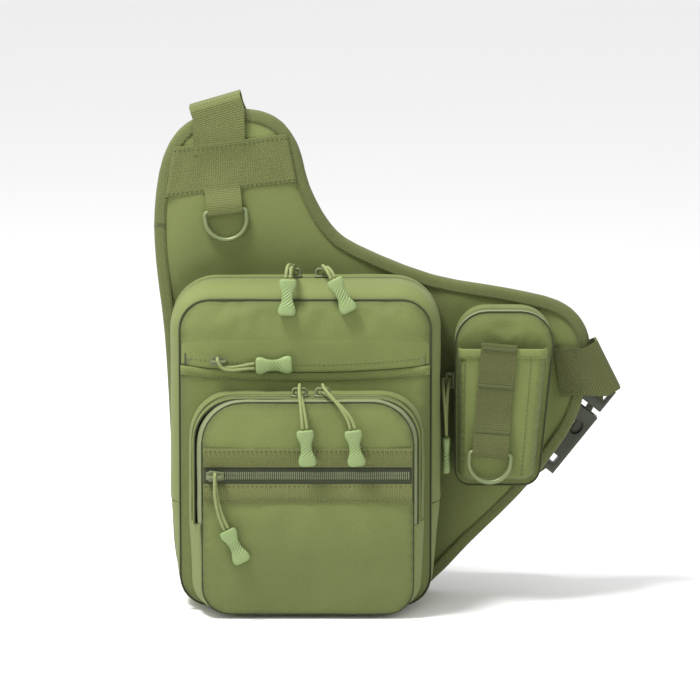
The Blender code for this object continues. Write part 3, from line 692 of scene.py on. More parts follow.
def beside(x, z, left, right, top, corner):
    """How far a point lies outside a compartment's upright outline."""
    across = abs(x - (left + right) / 2) - (right - left) / 2 + corner
    above = z - top + corner
    return math.hypot(max(across, 0), max(above, 0)) + min(max(across, above), 0) - corner


def panel_y(x, z, depth=None):
    """The padded panel's front surface, full between its edge and the seams of the compartments."""
    if depth is None:
        depth = distance_to(np.array([[x, z]], float), EDGE)[0]
    near = min(abs(beside(x, z, *MAIN_SIDES)), abs(beside(x, z, *POUCH_SIDES)) + 4 * (z < 95))
    soft = 0.9 * wrinkle(x, 0, z, 38, 3.1) * min(1.0, depth / 20)
    swell = 0.9 * min(1.0, depth / 30)
    return PANEL_FRONT + pinched(depth) + 2.9 * math.exp(-near / 11) - swell + soft


def panel_front():
    """The panel's padded face: pressed full by its filling, sewn down under the bands and at the wing."""
    rim = inset(EDGE, 2.0)
    front, flat, depth = face_sheet("panel_front", rim, 7, lambda x, z, d: panel_y(x, z, d + 2), PANEL_CLOTH)
    sewn = [min(d, 272 - z, 196 - x) for (x, z), d in zip(flat, depth)]
    puff(front, sewn, 1.3)
    # painted shade: darker in a wide band round the main compartment, where it stands on the panel; the band
    # along the edge is grime and painted shade as on every face
    shade = [max(math.exp(-d / SEAM_REACH), 0.8 * math.exp(-abs(beside(x, z, *MAIN_SIDES)) / 24))
             for (x, z), d in zip(flat, depth)]
    mark(front, "seam", shade)
    rubbed = [0.5 * max(0, wrinkle(x, 0, z, 30, 1.0)) for x, z in rim]
    mark(front, "worn", rubbed + [0] * (len(depth) - len(rim)))
    modifier(front, "SUBSURF", levels=1, render_levels=1)
    settle(applied(front), "bag", "back_panel_face", "back_panel_foam", slot="oxford_fabric")


def quilted(x, z, d):
    """The mesh padding's rear surface, with three sewn channels across it."""
    grooves = sum(math.exp(-((z - level - 0.12 * x) / 4.5) ** 2) for level in (80, 160, 240))
    return PANEL_REAR - pinched(d + 2) + 1.9 * (1 - math.exp(-d / 12)) - 2.4 * grooves


def binding():
    """Tape folded round the panel's edge, with a row of stitches on each side."""
    front = [(9.0, -0.9), (8.2, -1.15), (5.5, -1.2), (3.0, -1.35), (1.2, -0.6)]
    middle = (PANEL_FRONT + PANEL_REAR) / 2
    lanes = [(d, PANEL_FRONT + pinched(d) + y) for d, y in front]
    lanes += [(0.35, middle - 3.6), (0.0, middle), (0.35, middle + 3.6)]
    lanes += [(d, PANEL_REAR - pinched(d) - y) for d, y in front[::-1]]
    loops = [inset(EDGE, d) for d, _ in lanes]
    rows = []
    for i, (x, z) in enumerate(EDGE):
        ripple = 0.25 * wrinkle(x, 0, z, 9, 5.0)
        rows.append([(loop[i][0], y - ripple * (k < len(front)), loop[i][1])
                     for k, (loop, (_, y)) in enumerate(zip(loops, lanes))])
    tape = grid("binding", rows, BINDING, close_along=True)
    outward(tape)
    thicken(tape, 1.1)
    modifier(tape, "SUBSURF", levels=1, render_levels=1)
    settle(applied(tape), "bag", "edge_binding", slot="binding_tape")
    for label, sign, level in (("front", 1, PANEL_FRONT - 1.35), ("rear", -1, PANEL_REAR + 1.35)):
        path = [(x, level + sign * pinched(7.4), z) for x, z in inset(EDGE, 7.4)]
        stitches(f"binding_stitch_{label}", path, "bag", (0, -sign, 0), closed=True)


def back_panel():
    """The padded panel with its wing, the spacer mesh behind it and the tape bound round its edge."""
    panel_front()
    rear, _, _ = face_sheet("panel_mesh", inset(EDGE, 2.0), 6, quilted, SPACER, front=False)
    modifier(rear, "SUBSURF", levels=1, render_levels=1)
    settle(applied(rear), "bag", "back_mesh_padding", slot="spacer_mesh")
    binding()


def outward(obj):
    """Turns a shell's faces away from its middle."""
    mesh = obj.data
    middle = sum((v.co for v in mesh.vertices), Vector()) / len(mesh.vertices)
    if sum(p.normal.dot(p.center - middle) * p.area for p in mesh.polygons) < 0:
        mesh.flip_normals()


# ---------------------------------------------------------------- shells

def softened(points, bulge, seed):
    """A hoop of (x, y, z) points with bulging sides and a few wrinkles."""
    points = np.array(points, float)
    low, high = points.min(0), points.max(0)
    middle, half = (low[0] + high[0]) / 2, (high[0] - low[0]) / 2
    out = []
    for x, y, z in points:
        across, up = (x - middle) / half, (z - low[2]) / max(high[2] - low[2], 1)
        x += bulge * math.copysign(1, across) * math.sin(math.pi * min(1, up)) * min(1, abs(across) ** 4)
        crease = wrinkle(x, y * 0.5, z, 26, seed) + 0.5 * wrinkle(x, y, z, 11, seed + 4)
        out.append((x + 0.5 * crease * across, y, z + 0.5 * crease * up))
    return out


def shell(name, stations, body, nodes, material=None, bulge=0.0, seed=0.0, between=None, slot="oxford_fabric",
          seams=(0, -1)):
    """Fabric through hoops of points; between holds the two bodies and the two depths it spans, and when it
    is given the piece is only baked in place, on neither body.
    """
    material = material or CLOTH
    rows = [softened(hoop, bulge, seed) for hoop in stations]
    obj = grid(name, rows, material)
    outward(obj)
    count = len(rows[0])
    deep = np.array([r[0][1] for r in rows])
    # darker at the seam stations: grime and painted shade
    seam_grime_and_shade = np.zeros(len(rows) * count)
    for seam in seams:
        seam_grime_and_shade = np.maximum(seam_grime_and_shade, np.repeat(np.exp(-np.abs(deep - deep[seam]) / 1.6), count))
    mark(obj, "seam", seam_grime_and_shade)
    fabric_face(obj, FABRIC)
    if between is None:
        return settle(obj, body, *nodes, slot=slot)
    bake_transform(obj)
    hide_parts(*nodes)
    return obj


def spaced(stations, count):
    """More stations along a smooth line through a few."""
    stations = np.array(stations, float)
    at = np.linspace(0, len(stations) - 1, count)
    out = []
    for t in at:
        i = min(int(t), len(stations) - 2)
        f = t - i
        p = [stations[max(0, min(len(stations) - 1, j))] for j in (i - 1, i, i + 1, i + 2)]
        out.append(0.5 * (2 * p[1] + (p[2] - p[0]) * f + (2 * p[0] - 5 * p[1] + 4 * p[2] - p[3]) * f ** 2
                          + (3 * p[1] - p[0] - 3 * p[2] + p[3]) * f ** 3))
    return out


def hoops(curve, stations, ends, middle=0.0):
    """Hoops along a smooth line through stations of (y, half width, the curve's other numbers)."""
    count = 110 if curve is arch else 90
    made = []
    for y, half, *rest in spaced(stations, 4 * (len(stations) - 1) + 1):
        path = resample(curve(middle - half, middle + half, ends, *rest), count)
        made.append([(x, y, z) for x, z in path])
    return made


def coil(name, path, body, out, side, wide=2.1, pitch=1.35, thick=0.42):
    """Half a zip's coil along a path: round teeth leaning across it."""
    middles = resample(path, max(4, int(length_of(path) / pitch)))
    across = Vector(side)
    spines = []
    for i, middle in enumerate(middles):
        run = Vector(middles[min(i + 1, len(middles) - 1)] - middles[max(i - 1, 0)]).normalized()
        up = Vector(out(middle)) if callable(out) else Vector(out)
        stations = [(Vector(middle) + across * (wide * share) + up * (rise * thick * 1.6), 1)
                    for share, rise in ((-0.5, 0.0), (-0.3, 0.75), (0.1, 0.9), (0.42, 0.55), (0.5, 0.1))]
        spines.append((run, up, stations))
    return threads(name, ZIP_COIL, body, spines, thick, sides=5)


def hoop_zip(prefix, hoop, rear, middle, front, bodies, nodes):
    """A zip round an arch: two tapes a little below the cloth, their coils and the welt beside each."""
    hoop = np.array(hoop, float)
    run = np.gradient(hoop, axis=0)
    normal = np.stack([-run[:, 2], np.zeros(len(run)), run[:, 0]], axis=1)
    normal /= np.linalg.norm(normal, axis=1, keepdims=True)
    if ((hoop - hoop.mean(0)) * normal).sum() < 0:
        normal = -normal

    def at(y, drop):
        line = hoop - normal * drop
        line[:, 1] = y
        return line

    for half, y_out, lean, body, node in (("rear", rear, 1, bodies[0], nodes[0]),
                                          ("front", front, -1, bodies[1], nodes[1])):
        y_in = middle + 0.15 * lean
        rows = [at(y_out + 1.5 * lean, 1.1), at(y_out - 0.8 * lean, 1.0), at(y_in + 1.6 * lean, 0.9),
                at(y_in, 0.9)]
        tape = grid(f"{prefix}_tape_{half}", rows, ZIP_TAPE)
        outward(tape)
        settle(thicken(tape, 0.7), body, node, slot="zip_tape")
        line = at(y_in + 1.05 * lean, 0.75)

        def up(point, line=line):
            return normal[np.argmin(np.linalg.norm(line - point, axis=1))]

        coil(f"{prefix}_coil_{half}", line, body, up, (0, -lean, 0))
        welt = tube(f"{prefix}_welt_{half}", at(y_out + 0.2 * lean, 0.5), 0.75, CLOTH)
        settle(welt, body, slot="oxford_fabric")


def piping(name, outline, y, inward, radius, body):
    """A cord sewn along a face's edge, coloured dark as painted shade for the groove of the seam."""
    path = [(x, y, z) for x, z in inset(outline, inward)]
    settle(tube(name, path, radius, PIPING_GROOVE_SHADE, closed=True), body, slot="binding_tape")


def straight_zip(name, node, body, rows, y, ends, middle, apart, tape_thick, **teeth):
    """A zip that runs across a face: its tape and both halves of its coil."""
    tape = grid(f"{name}_tape", rows, ZIP_TAPE)
    face_towards(tape, True)
    settle(thicken(tape, tape_thick), body, node, slot="zip_tape")
    for label, side in (("low", -1), ("high", 1)):
        z = middle + side * apart
        coil(f"{name}_coil_{label}", [(x, y, z) for x in ends], body, (0, -1, 0), (0, 0, -side), **teeth)


# ---------------------------------------------------------------- main compartment

MAIN_FACE = -30.6
SLIP_FACE = -32.6
SLIP_SAG = 5.4
MAIN_ZIP_ENDS = 80
# stations of (y, half width, top, corner), then of (y, half width, bottom, corner, toe)
MAIN_REAR = [(GUSSET_ROOT, 98.5, 241.5, 33), (25, 99.8, 243, 34), (15, 99.8, 243, 34)]
MAIN_FRONT = [(5.6, 99.8, 243, 34), (-4, 100.4, 243.2, 34), (-14, 100.2, 242.4, 33), (-23, 97.8, 239.2, 29),
              (-28, 94.8, 235.4, 25), (-30.2, 93.2, 233.2, 22)]
MAIN_BASE = [(GUSSET_ROOT, 98.5, 2, 26, 5), (25, 99.8, 0.2, 26, 5), (15, 99.9, 0, 26, 5),
             (5.6, 99.9, 0, 26, 5), (-14, 99.9, 0, 26, 5), (-24, 97.2, 1.4, 26, 6), (-30.2, 93.2, 3.2, 24, 4)]


def main_y(x, z, d):
    """The main front's cloth, full above the slip pocket."""
    above = min(1.0, max(0.0, (z - 184) / 5))
    full = 3.3 + 1.2 * min(1.0, max(0.0, (z - 192) / 14))
    crown = (0.5 + full * above) * (1 - math.exp(-d / 8))
    return MAIN_FACE - crown - 0.5 * above * wrinkle(x, 0, z, 24, 2.2)


def main_compartment():
    """The main compartment's gussets, zip and front panel."""
    shell("main_shell_rear", hoops(arch, MAIN_REAR, MAIN_ZIP_ENDS), "bag", ["main_gusset_rear"], seed=1.0)
    shell("main_shell_front", hoops(arch, MAIN_FRONT, MAIN_ZIP_ENDS), "main_lid", ["main_gusset_front"],
          bulge=-0.4, seed=2.0)
    shell("main_shell_base", hoops(trough, MAIN_BASE, MAIN_ZIP_ENDS + 0.2), "bag", ["main_base_gusset"],
          seed=3.0, between=("bag", "main_lid", 15, 5.8), seams=(-1,))
    line = resample(arch(-99.8, 99.8, MAIN_ZIP_ENDS, 243, 34), 150)
    hoop_zip("main_zip", [(x, 0, z) for x, z in line], 15, 10.4, 5.8, ("bag", "main_lid"),
             ("main_zip_rear", "main_zip_front"))
    outline = outline_of("main_front_panel", 200)
    front, flat, depth = face_sheet("main_front", outline, 6, main_y, CLOTH)
    puff(front, np.minimum(depth, flat[:, 1] - 207), 1.8)
    settle(fabric_face(front), "main_lid", "main_front_panel", slot="oxford_fabric")
    piping("main_piping", outline, MAIN_FACE, 0.3, 0.8, "main_lid")


def slip_edge():
    """The slip pocket's sagging top edge, from right to left."""
    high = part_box("main_slip_panel")[1] / MM
    return [(x, high.z - SLIP_SAG * (1 - (x / high.x) ** 2)) for x in np.linspace(high.x, -high.x, 40)]


def slip_pocket():
    """The flat pocket across the main front, with a turned and stitched hem."""
    edge = slip_edge()
    foot = [(x, z) for x, z in outline_of("main_slip_panel", 160) if z < edge[0][1] - 12]
    start = max(range(len(foot)), key=lambda i: math.dist(foot[i], foot[i - 1]))
    outline = resample(np.array(edge + foot[start:] + foot[:start]), 180, closed=True)
    flap, _, _ = face_sheet("slip_pocket", outline, 8,
                            lambda x, z, d: SLIP_FACE - 0.55 * wrinkle(x, 0, z, 30, 8.0), CLOTH)
    modifier(flap, "SOLIDIFY", thickness=0.9 * MM, offset=-1.0)
    settle(applied(flap), "main_lid", "main_slip_panel", slot="oxford_fabric")
    turned = ((-0.3, -6.5), (-0.9, -6), (-1.0, -2), (-0.9, 0), (-0.3, 0.5), (0.3, 0.2))
    band = grid("slip_hem", [[(x, SLIP_FACE + y, z + up) for y, up in turned] for x, z in edge], CLOTH)
    face_towards(band, True)
    settle(thicken(band, 0.6), "main_lid", slot="oxford_fabric")
    stitches("slip_stitch", [(x, SLIP_FACE - 1.1, z - 5.2) for x, z in edge[1:-1]], "main_lid")


def hidden_zip():
    """The slip pocket's zip and the fold of cloth that covers it."""
    low, high = (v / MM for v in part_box("hidden_zip"))
    foot, top = low.z - 4, high.z + 1.5
    rows = [[(x, -32.4, z) for z in (foot, (foot + top) / 2, top)] for x in np.linspace(low.x, high.x, 30)]
    straight_zip("hidden", "hidden_zip", "main_lid", rows, -32.5, (low.x + 2, high.x - 2),
                 pivot("hidden_swing").z, 1.05, 0.7)
    rows = []
    for x, lip in slip_edge()[::-1]:
        lip += 0.5
        cover = ((206, -0.6), (203, 0.1), (198, 0.35), (lip + 5, 0.5), (lip + 1.4, 0.6), (lip, 0.1),
                 (lip + 0.8, -1.0))
        rows.append([(x, main_y(x, max(z, 192), 92.4 - abs(x)) - lift, z) for z, lift in cover])
    hood = grid("hidden_hood", rows, CLOTH)
    face_towards(hood, True)
    settle(fabric_face(hood, 0.6), "main_lid", slot="oxford_fabric")
    path = [(x, y - 0.15, z + 1) for x, y, z in (row[3] for row in rows[1:-1])]
    stitches("hidden_stitch", path, "main_lid")


# ---------------------------------------------------------------- front pocket

POCKET_MIDDLE = 1.0
POCKET_ZIP_ENDS = 70
FACE_ZIP_Z = 107.5
POCKET_REAR = [(-33.2, 87, 166, 32), (-40, 86.4, 165.6, 32), (-46.2, 84.8, 165, 32)]
POCKET_LOWER = [(-33.2, 87, 3, 20, 2), (-40, 86.4, 3, 20, 2), (-46.3, 84.8, 3, 20, 2), (-51, 83, 3, 20, 2),
                (-56, 80.6, 3, 20, 2), (-60.2, 78, 3.4, 20, 2)]
POCKET_FRONT = [(-55.6, 81.6, 163.4, 32), (-58.4, 79.6, 162.8, 32), (-60.6, 78.2, 162, 31)]


def pocket_y(x, z, d):
    """The pocket's face: full in its belly and below its top, flat where the zip runs across."""
    near_zip = math.exp(-((z - FACE_ZIP_Z) / 17) ** 2)
    belly = 3.4 * (1 - math.exp(-d / 13)) * (1 - 0.93 * near_zip)
    return -61.8 - belly - 0.45 * (1 - near_zip) * wrinkle(x, 0, z, 28, 6.3)


def pocket_band(node):
    """One band of webbing across the pocket's face, sewn along both selvedges."""
    low, high = (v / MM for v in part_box(node))
    section = ((low.z, 0.3), (low.z + 0.7, 1.2), ((low.z + high.z) / 2, 1.35), (high.z - 0.7, 1.2),
               (high.z, 0.3))
    rows = [[(x, pocket_y(x, z, 30) - lift, z) for z, lift in section]
            for x in np.linspace(low.x + 0.4, high.x - 0.4, 60)]
    band = grid(f"{node}_band", rows, WEBBING)
    face_towards(band, True)
    settle(band, "pocket_lid", node, slot="webbing")
    for label, z in (("low", low.z + 1.7), ("high", high.z - 1.7)):
        path = [(x, pocket_y(x, z, 30) - 1.35, z) for x in np.linspace(low.x + 2, high.x - 2, 40)]
        stitches(f"{node}_stitch_{label}", path, "pocket_lid")


def front_pocket():
    """The pocket's gussets and zip, its full face, the two woven bands and the zip across it."""
    shell("pocket_shell_rear", hoops(arch, POCKET_REAR, POCKET_ZIP_ENDS, POCKET_MIDDLE), "main_lid",
          ["pocket_gusset_rear"], seed=5.0)
    shell("pocket_shell_lower", hoops(trough, POCKET_LOWER, POCKET_ZIP_ENDS + 0.2, POCKET_MIDDLE), "main_lid",
          ["pocket_gusset_lower"], seed=6.0, between=("main_lid", "pocket_lid", -46.3, -56), seams=(-1,))
    shell("pocket_shell_front", hoops(arch, POCKET_FRONT, POCKET_ZIP_ENDS, POCKET_MIDDLE + 0.8), "pocket_lid",
          [], TAPE_BAND, seed=7.0, slot="zip_tape")
    line = resample(arch(POCKET_MIDDLE - 83.6, POCKET_MIDDLE + 83.6, POCKET_ZIP_ENDS, 164.2, 32), 130)
    hoop_zip("pocket_zip", [(x, 0, z) for x, z in line], -46.2, -51, -55.6, ("main_lid", "pocket_lid"),
             ("pocket_zip_rear", "pocket_zip_front"))

    outline = outline_of("pocket_front_panel", 190)
    face, flat, depth = face_sheet("pocket_face", outline, 5, pocket_y, CLOTH)
    puff(face, np.minimum(depth, abs(flat[:, 1] - FACE_ZIP_Z) - 18), 1.8)
    # painted shade: the face is drawn darker towards its foot, on top of the grime and painted shade along
    # its edge
    low = 0.6 * np.clip((96 - flat[:, 1]) / 50, 0, 1)
    mark(face, "seam", np.maximum(np.exp(-depth / SEAM_REACH), low))
    settle(fabric_face(face), "pocket_lid", "pocket_front_panel", slot="oxford_fabric")
    piping("pocket_piping", outline, -61.4, 0.2, 0.6, "pocket_lid")
    pocket_band("pocket_webbing_upper")
    pocket_band("pocket_webbing_lower")
    low, high = (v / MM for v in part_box("face_zip"))
    rows = [[(x, -62.9, z) for z in (low.z - 0.4, low.z + 3, high.z - 3, high.z + 0.4)]
            for x in np.linspace(low.x + 0.5, high.x - 0.5, 40)]
    straight_zip("face_zip", "face_zip", "pocket_lid", rows, -62.9, (low.x + 3, high.x - 3), FACE_ZIP_Z, 1.4,
                 0.8, wide=2.8, pitch=1.5, thick=0.5)


# ---------------------------------------------------------------- side pouch

POUCH_MIDDLE = 147.5
POUCH_HALF = 36.5
SLEEVE_LEFT = 113.0
SLEEVE_RIGHT = 180.0
SLEEVE_ROOT = -7.0
SLEEVE_CORNER = 10
POUCH_ZIP_ENDS = 112
POUCH_REAR = [(GUSSET_ROOT, 36.2, 219.2, 24), (22, 36.4, 219.9, 24), (12, 36.4, 219.9, 24)]
POUCH_LOWER = [(GUSSET_ROOT, 36.2, 89.6, 12, 2), (12, 36.4, 89.1, 12, 2), (2.8, 36.4, 89, 12, 2),
               (-5, 36, 89.3, 12, 2)]
POUCH_FRONT = [(2.6, 36.4, 219.9, 24), (-2.4, 36.3, 219.7, 24), (-5.6, 35.6, 218.8, 23.5)]


def lean(z):
    """The share of the pouch's width that its right side gives up at a height."""
    return 0.1 * max(0.0, 196 - z) / (2 * POUCH_HALF)


def slanted(points):
    """Outline points drawn in on the right towards the pouch's foot; a point's height is its last number."""
    left = POUCH_MIDDLE - POUCH_HALF
    return [(p[0] - lean(p[-1]) * (p[0] - left), *p[1:]) for p in points]


def sleeve_depth(x, z):
    """How far a point lies in from the sleeve's sides and foot; its mouth is open."""
    left = POUCH_MIDDLE - POUCH_HALF
    upright = left + (x - left) / (1 - lean(z))
    half = (SLEEVE_RIGHT - SLEEVE_LEFT) / 2 - SLEEVE_CORNER
    across = abs(upright - (SLEEVE_LEFT + SLEEVE_RIGHT) / 2) - half
    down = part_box("pouch_sleeve")[0].z / MM + SLEEVE_CORNER - z
    return SLEEVE_CORNER - math.hypot(max(across, 0), max(down, 0)) - min(max(across, down), 0)


def sleeve_y(x, z):
    """The sleeve's front: walls that turn over at their edge, and a slightly full middle."""
    depth = max(0.0, sleeve_depth(x, z))
    wall = (1 - max(0.0, 1 - depth / 6.5) ** 2.6) ** (1 / 2.6)
    full = 0.7 * math.exp(-((z - 135) / 40) ** 2) * min(1.0, depth / 14)
    return SLEEVE_ROOT - 9.7 * wall - full - 0.35 * wrinkle(x, 0, z, 22, 4.4) * wall


def pouch_y(_, z, d):
    """The pouch's face, full above the sleeve."""
    above = min(1.0, max(0.0, (z - 190) / 12))
    return -5.9 - (0.5 + 2.2 * above) * (1 - math.exp(-d / 7))


def side_pouch():
    """The pouch on the wing and its zip."""
    rear = hoops(arch, POUCH_REAR, POUCH_ZIP_ENDS, POUCH_MIDDLE)
    lower = hoops(trough, POUCH_LOWER, POUCH_ZIP_ENDS + 0.2, POUCH_MIDDLE)
    front = hoops(arch, POUCH_FRONT, POUCH_ZIP_ENDS, POUCH_MIDDLE)
    shell("pouch_shell_rear", map(slanted, rear), "bag", ["pouch_gusset_rear"], seed=8.0)
    shell("pouch_shell_lower", map(slanted, lower), "bag", ["pouch_gusset_lower"], seed=9.0,
          between=("bag", "pouch_lid", 12, 2.8), seams=(-1,))
    shell("pouch_shell_front", map(slanted, front), "pouch_lid", [], TAPE_BAND, seed=10.0, slot="zip_tape")
    line = slanted(resample(arch(POUCH_MIDDLE - 36.4, POUCH_MIDDLE + 36.4, POUCH_ZIP_ENDS, 219.9, 24), 90))
    hoop_zip("pouch_zip", [(x, 0, z) for x, z in line], 12, 7.4, 2.8, ("bag", "pouch_lid"),
             ("pouch_zip_rear", "pouch_zip_front"))
    outline = outline_of("pouch_front_panel", 140)
    face, flat, depth = face_sheet("pouch_face", outline, 4.5, pouch_y, CLOTH)
    puff(face, np.minimum(depth, flat[:, 1] - 196), 1.0)
    settle(fabric_face(face), "pouch_lid", "pouch_front_panel", slot="oxford_fabric")
    piping("pouch_piping", outline, -6.0, 0.2, 0.6, "pouch_lid")


def sleeve():
    """The open sleeve on the pouch's front, with a turned hem and a stitched pleat on each side."""
    foot, mouth = (v.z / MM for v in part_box("pouch_sleeve"))
    cup = trough(SLEEVE_LEFT, SLEEVE_RIGHT, mouth, foot, SLEEVE_CORNER, 0)
    rim = np.array(slanted(resample(cup, 150, closed=True)))
    face, _, _ = face_sheet("sleeve", rim, 3.4, lambda x, z, d: sleeve_y(x, z), CLOTH)
    settle(fabric_face(face, 1.1), "pouch_lid", "pouch_sleeve", slot="oxford_fabric")
    top = slanted([(x, mouth) for x in np.linspace(SLEEVE_LEFT + 0.4, SLEEVE_RIGHT - 0.4, 60)])
    turned = ((6.5, 0.1), (6, 0.6), (4, 0.75), (0.6, 0.7), (-0.5, 0.0), (0.3, -1.3), (5, -1.5))
    rows = [[(x, sleeve_y(x, mouth - drop) - lift, mouth - drop) for drop, lift in turned] for x, _ in top]
    settle(thicken(grid("sleeve_hem", rows, CLOTH), 0.5, 0.0), "pouch_lid", slot="oxford_fabric")
    z = mouth - 4.8
    stitches("sleeve_stitch", [(x, sleeve_y(x, z) - 1.0, z) for x, _ in top[2:-2]], "pouch_lid")
    for label, base in (("left", SLEEVE_LEFT + 5.0), ("right", SLEEVE_RIGHT - 12.0)):
        path = slanted([(base, 0, z) for z in np.linspace(foot + 6, mouth - 8, 40)])
        stitches(f"sleeve_pleat_{label}", [(x, sleeve_y(x, z) - 0.25, z) for x, _, z in path], "pouch_lid")


# ---------------------------------------------------------------- webbing

TOP_TILT, SIDE_TILT = -6.5, 4.5
KEEPER_HALF = 13.2


def ribbon(name, edges, body, node, thick=1.5, count=None, between=None, material=None):
    """Webbing through stations of two edge points, with rounded selvedges."""
    pairs = spaced([[*a, *b] for a, b in edges], count or 6 * len(edges))
    rows = []
    for pair in pairs:
        a, b = Vector(pair[:3]), Vector(pair[3:])
        rows.append([a.lerp(b, s) for s in (0.0, 0.025, 0.08, 0.22, 0.36, 0.5, 0.64, 0.78, 0.92, 0.975, 1.0)])
    obj = grid(name, rows, material or WEBBING)
    thicken(obj, thick, 0.0)
    modifier(obj, "BEVEL", width=0.45 * MM, segments=2, limit_method="ANGLE", angle_limit=math.radians(60))
    applied(obj)
    if between:
        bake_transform(obj)
        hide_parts(node)
    else:
        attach(obj, body)
        if node:
            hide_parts(node)
    return obj


def tack(name, start, end, body, lift, high=2.6):
    """A bar tack: threads packed side by side between two points."""
    start, end, lift = Vector(start), Vector(end), Vector(lift)
    run = (end - start).normalized()
    across = run.cross(lift).normalized()
    count = max(3, int((end - start).length / 0.62))
    profile = ((0, 0.5, -0.2), (0.12, 1, 0.15), (0.5, 1.05, 0.3), (0.88, 1, 0.15), (1, 0.5, -0.2))
    spines = []
    for i in range(count + 1):
        middle = start.lerp(end, i / count)
        stations = [(middle + across * (high * (share - 0.5)) + lift * rise, size)
                    for share, size, rise in profile]
        spines.append((run, lift, stations))
    return threads(name, STITCH, body, spines, THREAD_RADIUS)


def keeper(name, node, joint, tilt, path, body, material=None):
    """Webbing round a D-ring's bar, through (y, z) points measured from the bar."""
    turn = Matrix.Rotation(math.radians(tilt), 4, "Y")
    centre = pivot(joint)
    edges = [[centre + turn @ Vector((x, y, z)) for x in (-KEEPER_HALF, KEEPER_HALF)] for y, z in path]
    return ribbon(name, edges, body, node, 1.2, 4 * len(edges), material=material)


def hairpin(radius=2.6):
    """Half a turn of (y, z) points round a D-ring's bar, from its front to its rear."""
    return [(radius * math.cos(a), radius * math.sin(a)) for a in np.radians(np.linspace(0, -180, 9))]




def d_ring(node, joint, tilt):
    """A wire ring with a straight bar and a round end."""
    turn = Matrix.Rotation(math.radians(tilt), 4, "Y")
    centre = pivot(joint)
    half, drop = 15.4, 6.6
    flat = [(-half + 2.5, 0), (0, 0), (half - 2.5, 0), *arc(half - 2.6, -2.6, 2.6, 90, 0, 5),
            *arc(0, -drop, half, 0, -180, 40), *arc(-half + 2.6, -2.6, 2.6, 180, 90, 5)]
    path = resample([centre + turn @ Vector((x, 0, z)) for x, z in flat], 110, closed=True)
    ring = tube(node + "_wire", path, 1.68, RING_PAINT, sides=14, closed=True)
    settle(ring, node, node, slot="ring_metal")


def band_lift(d):
    """How far the shoulder band stands off the panel at that distance from the panel's edge."""
    share = min(1.0, max(0.0, (d - 8) / 8))
    return 2.3 - 1.1 * share * share * (3 - 2 * share)


BAND_LEFT = np.array(((-104.5, -98.5), (300.4, 338.0)))
BAND_RIGHT = np.array(((-6.5, -13.5), (312.0, 348.0)))


def top_band():
    """The wide woven band across the shoulder, sewn down along both selvedges."""
    ring = pivot("top_ring_swing")

    def at(s, t):
        x, z = (BAND_LEFT * (1 - s) + BAND_RIGHT * s) @ (1 - t, t)
        d = distance_to(np.array([[x, z]]), EDGE)[0]
        tucked = 1.9 * math.exp(-((x - ring.x) / 14) ** 4) * max(0.0, 1 - t / 0.45)
        tucked += 2.0 * math.exp(-((x + 64) / 25) ** 6) * max(0.0, (t - 0.6) / 0.4)
        return x, PANEL_FRONT + pinched(d) - band_lift(d) - tucked, z

    rows = [[at(s, t) for t in (0, 0.02, 0.08, 0.2, 0.35, 0.5, 0.65, 0.8, 0.92, 0.98, 1)]
            for s in np.linspace(0, 1, 48)]
    band = grid("shoulder_band", rows, WEBBING)
    face_towards(band, True)
    thicken(band, 1.3)
    settle(band, "bag", "top_band", slot="webbing")
    for label, t in (("low", 0.07), ("high", 0.93)):
        path = [Vector(at(s, t)) + Vector((0, -0.3, 0)) for s in np.linspace(0.02, 0.98, 60)]
        stitches(f"band_stitch_{label}", path, "bag")


def fold(front_pair, rear_y, turn=1, corner=4.0, reach=11.8):
    """Stations round a flat fold, from a front pair of edge points to the same pair behind."""
    a, b = (Vector(p) for p in front_pair)
    out = Vector((-(b - a).z, 0, (b - a).x)).normalized() * turn
    depth = rear_y - a.y
    path = [(0, 0)]
    path += arc(reach - corner, corner, corner, -90, 0, 3)
    path += arc(reach - corner, depth - corner, corner, 0, 90, 3)
    path.append((0, depth))
    moves = [out * away + Vector((0, back, 0)) for away, back in path]
    return [(a + move, b + move) for move in moves]


WEB = 38.0
STRAP_REAR = 49.7
WING_STRAP_REAR = 47.4
STRAP_START = Vector((-62.0, STRAP_REAR, 358.0))
STRAP_DOWN = Vector((0.42, 0, -0.907)).normalized()
STRAP_ACROSS = Vector((0.907, 0, 0.42)).normalized()
BUCKLE_BAR = Vector((213.0, 53.0, 160.0))
BUCKLE_AXIS = Vector(JOINTS["buckle_release"]["axis"])
BUCKLE_ACROSS = Vector((-BUCKLE_AXIS.z, 0, BUCKLE_AXIS.x))


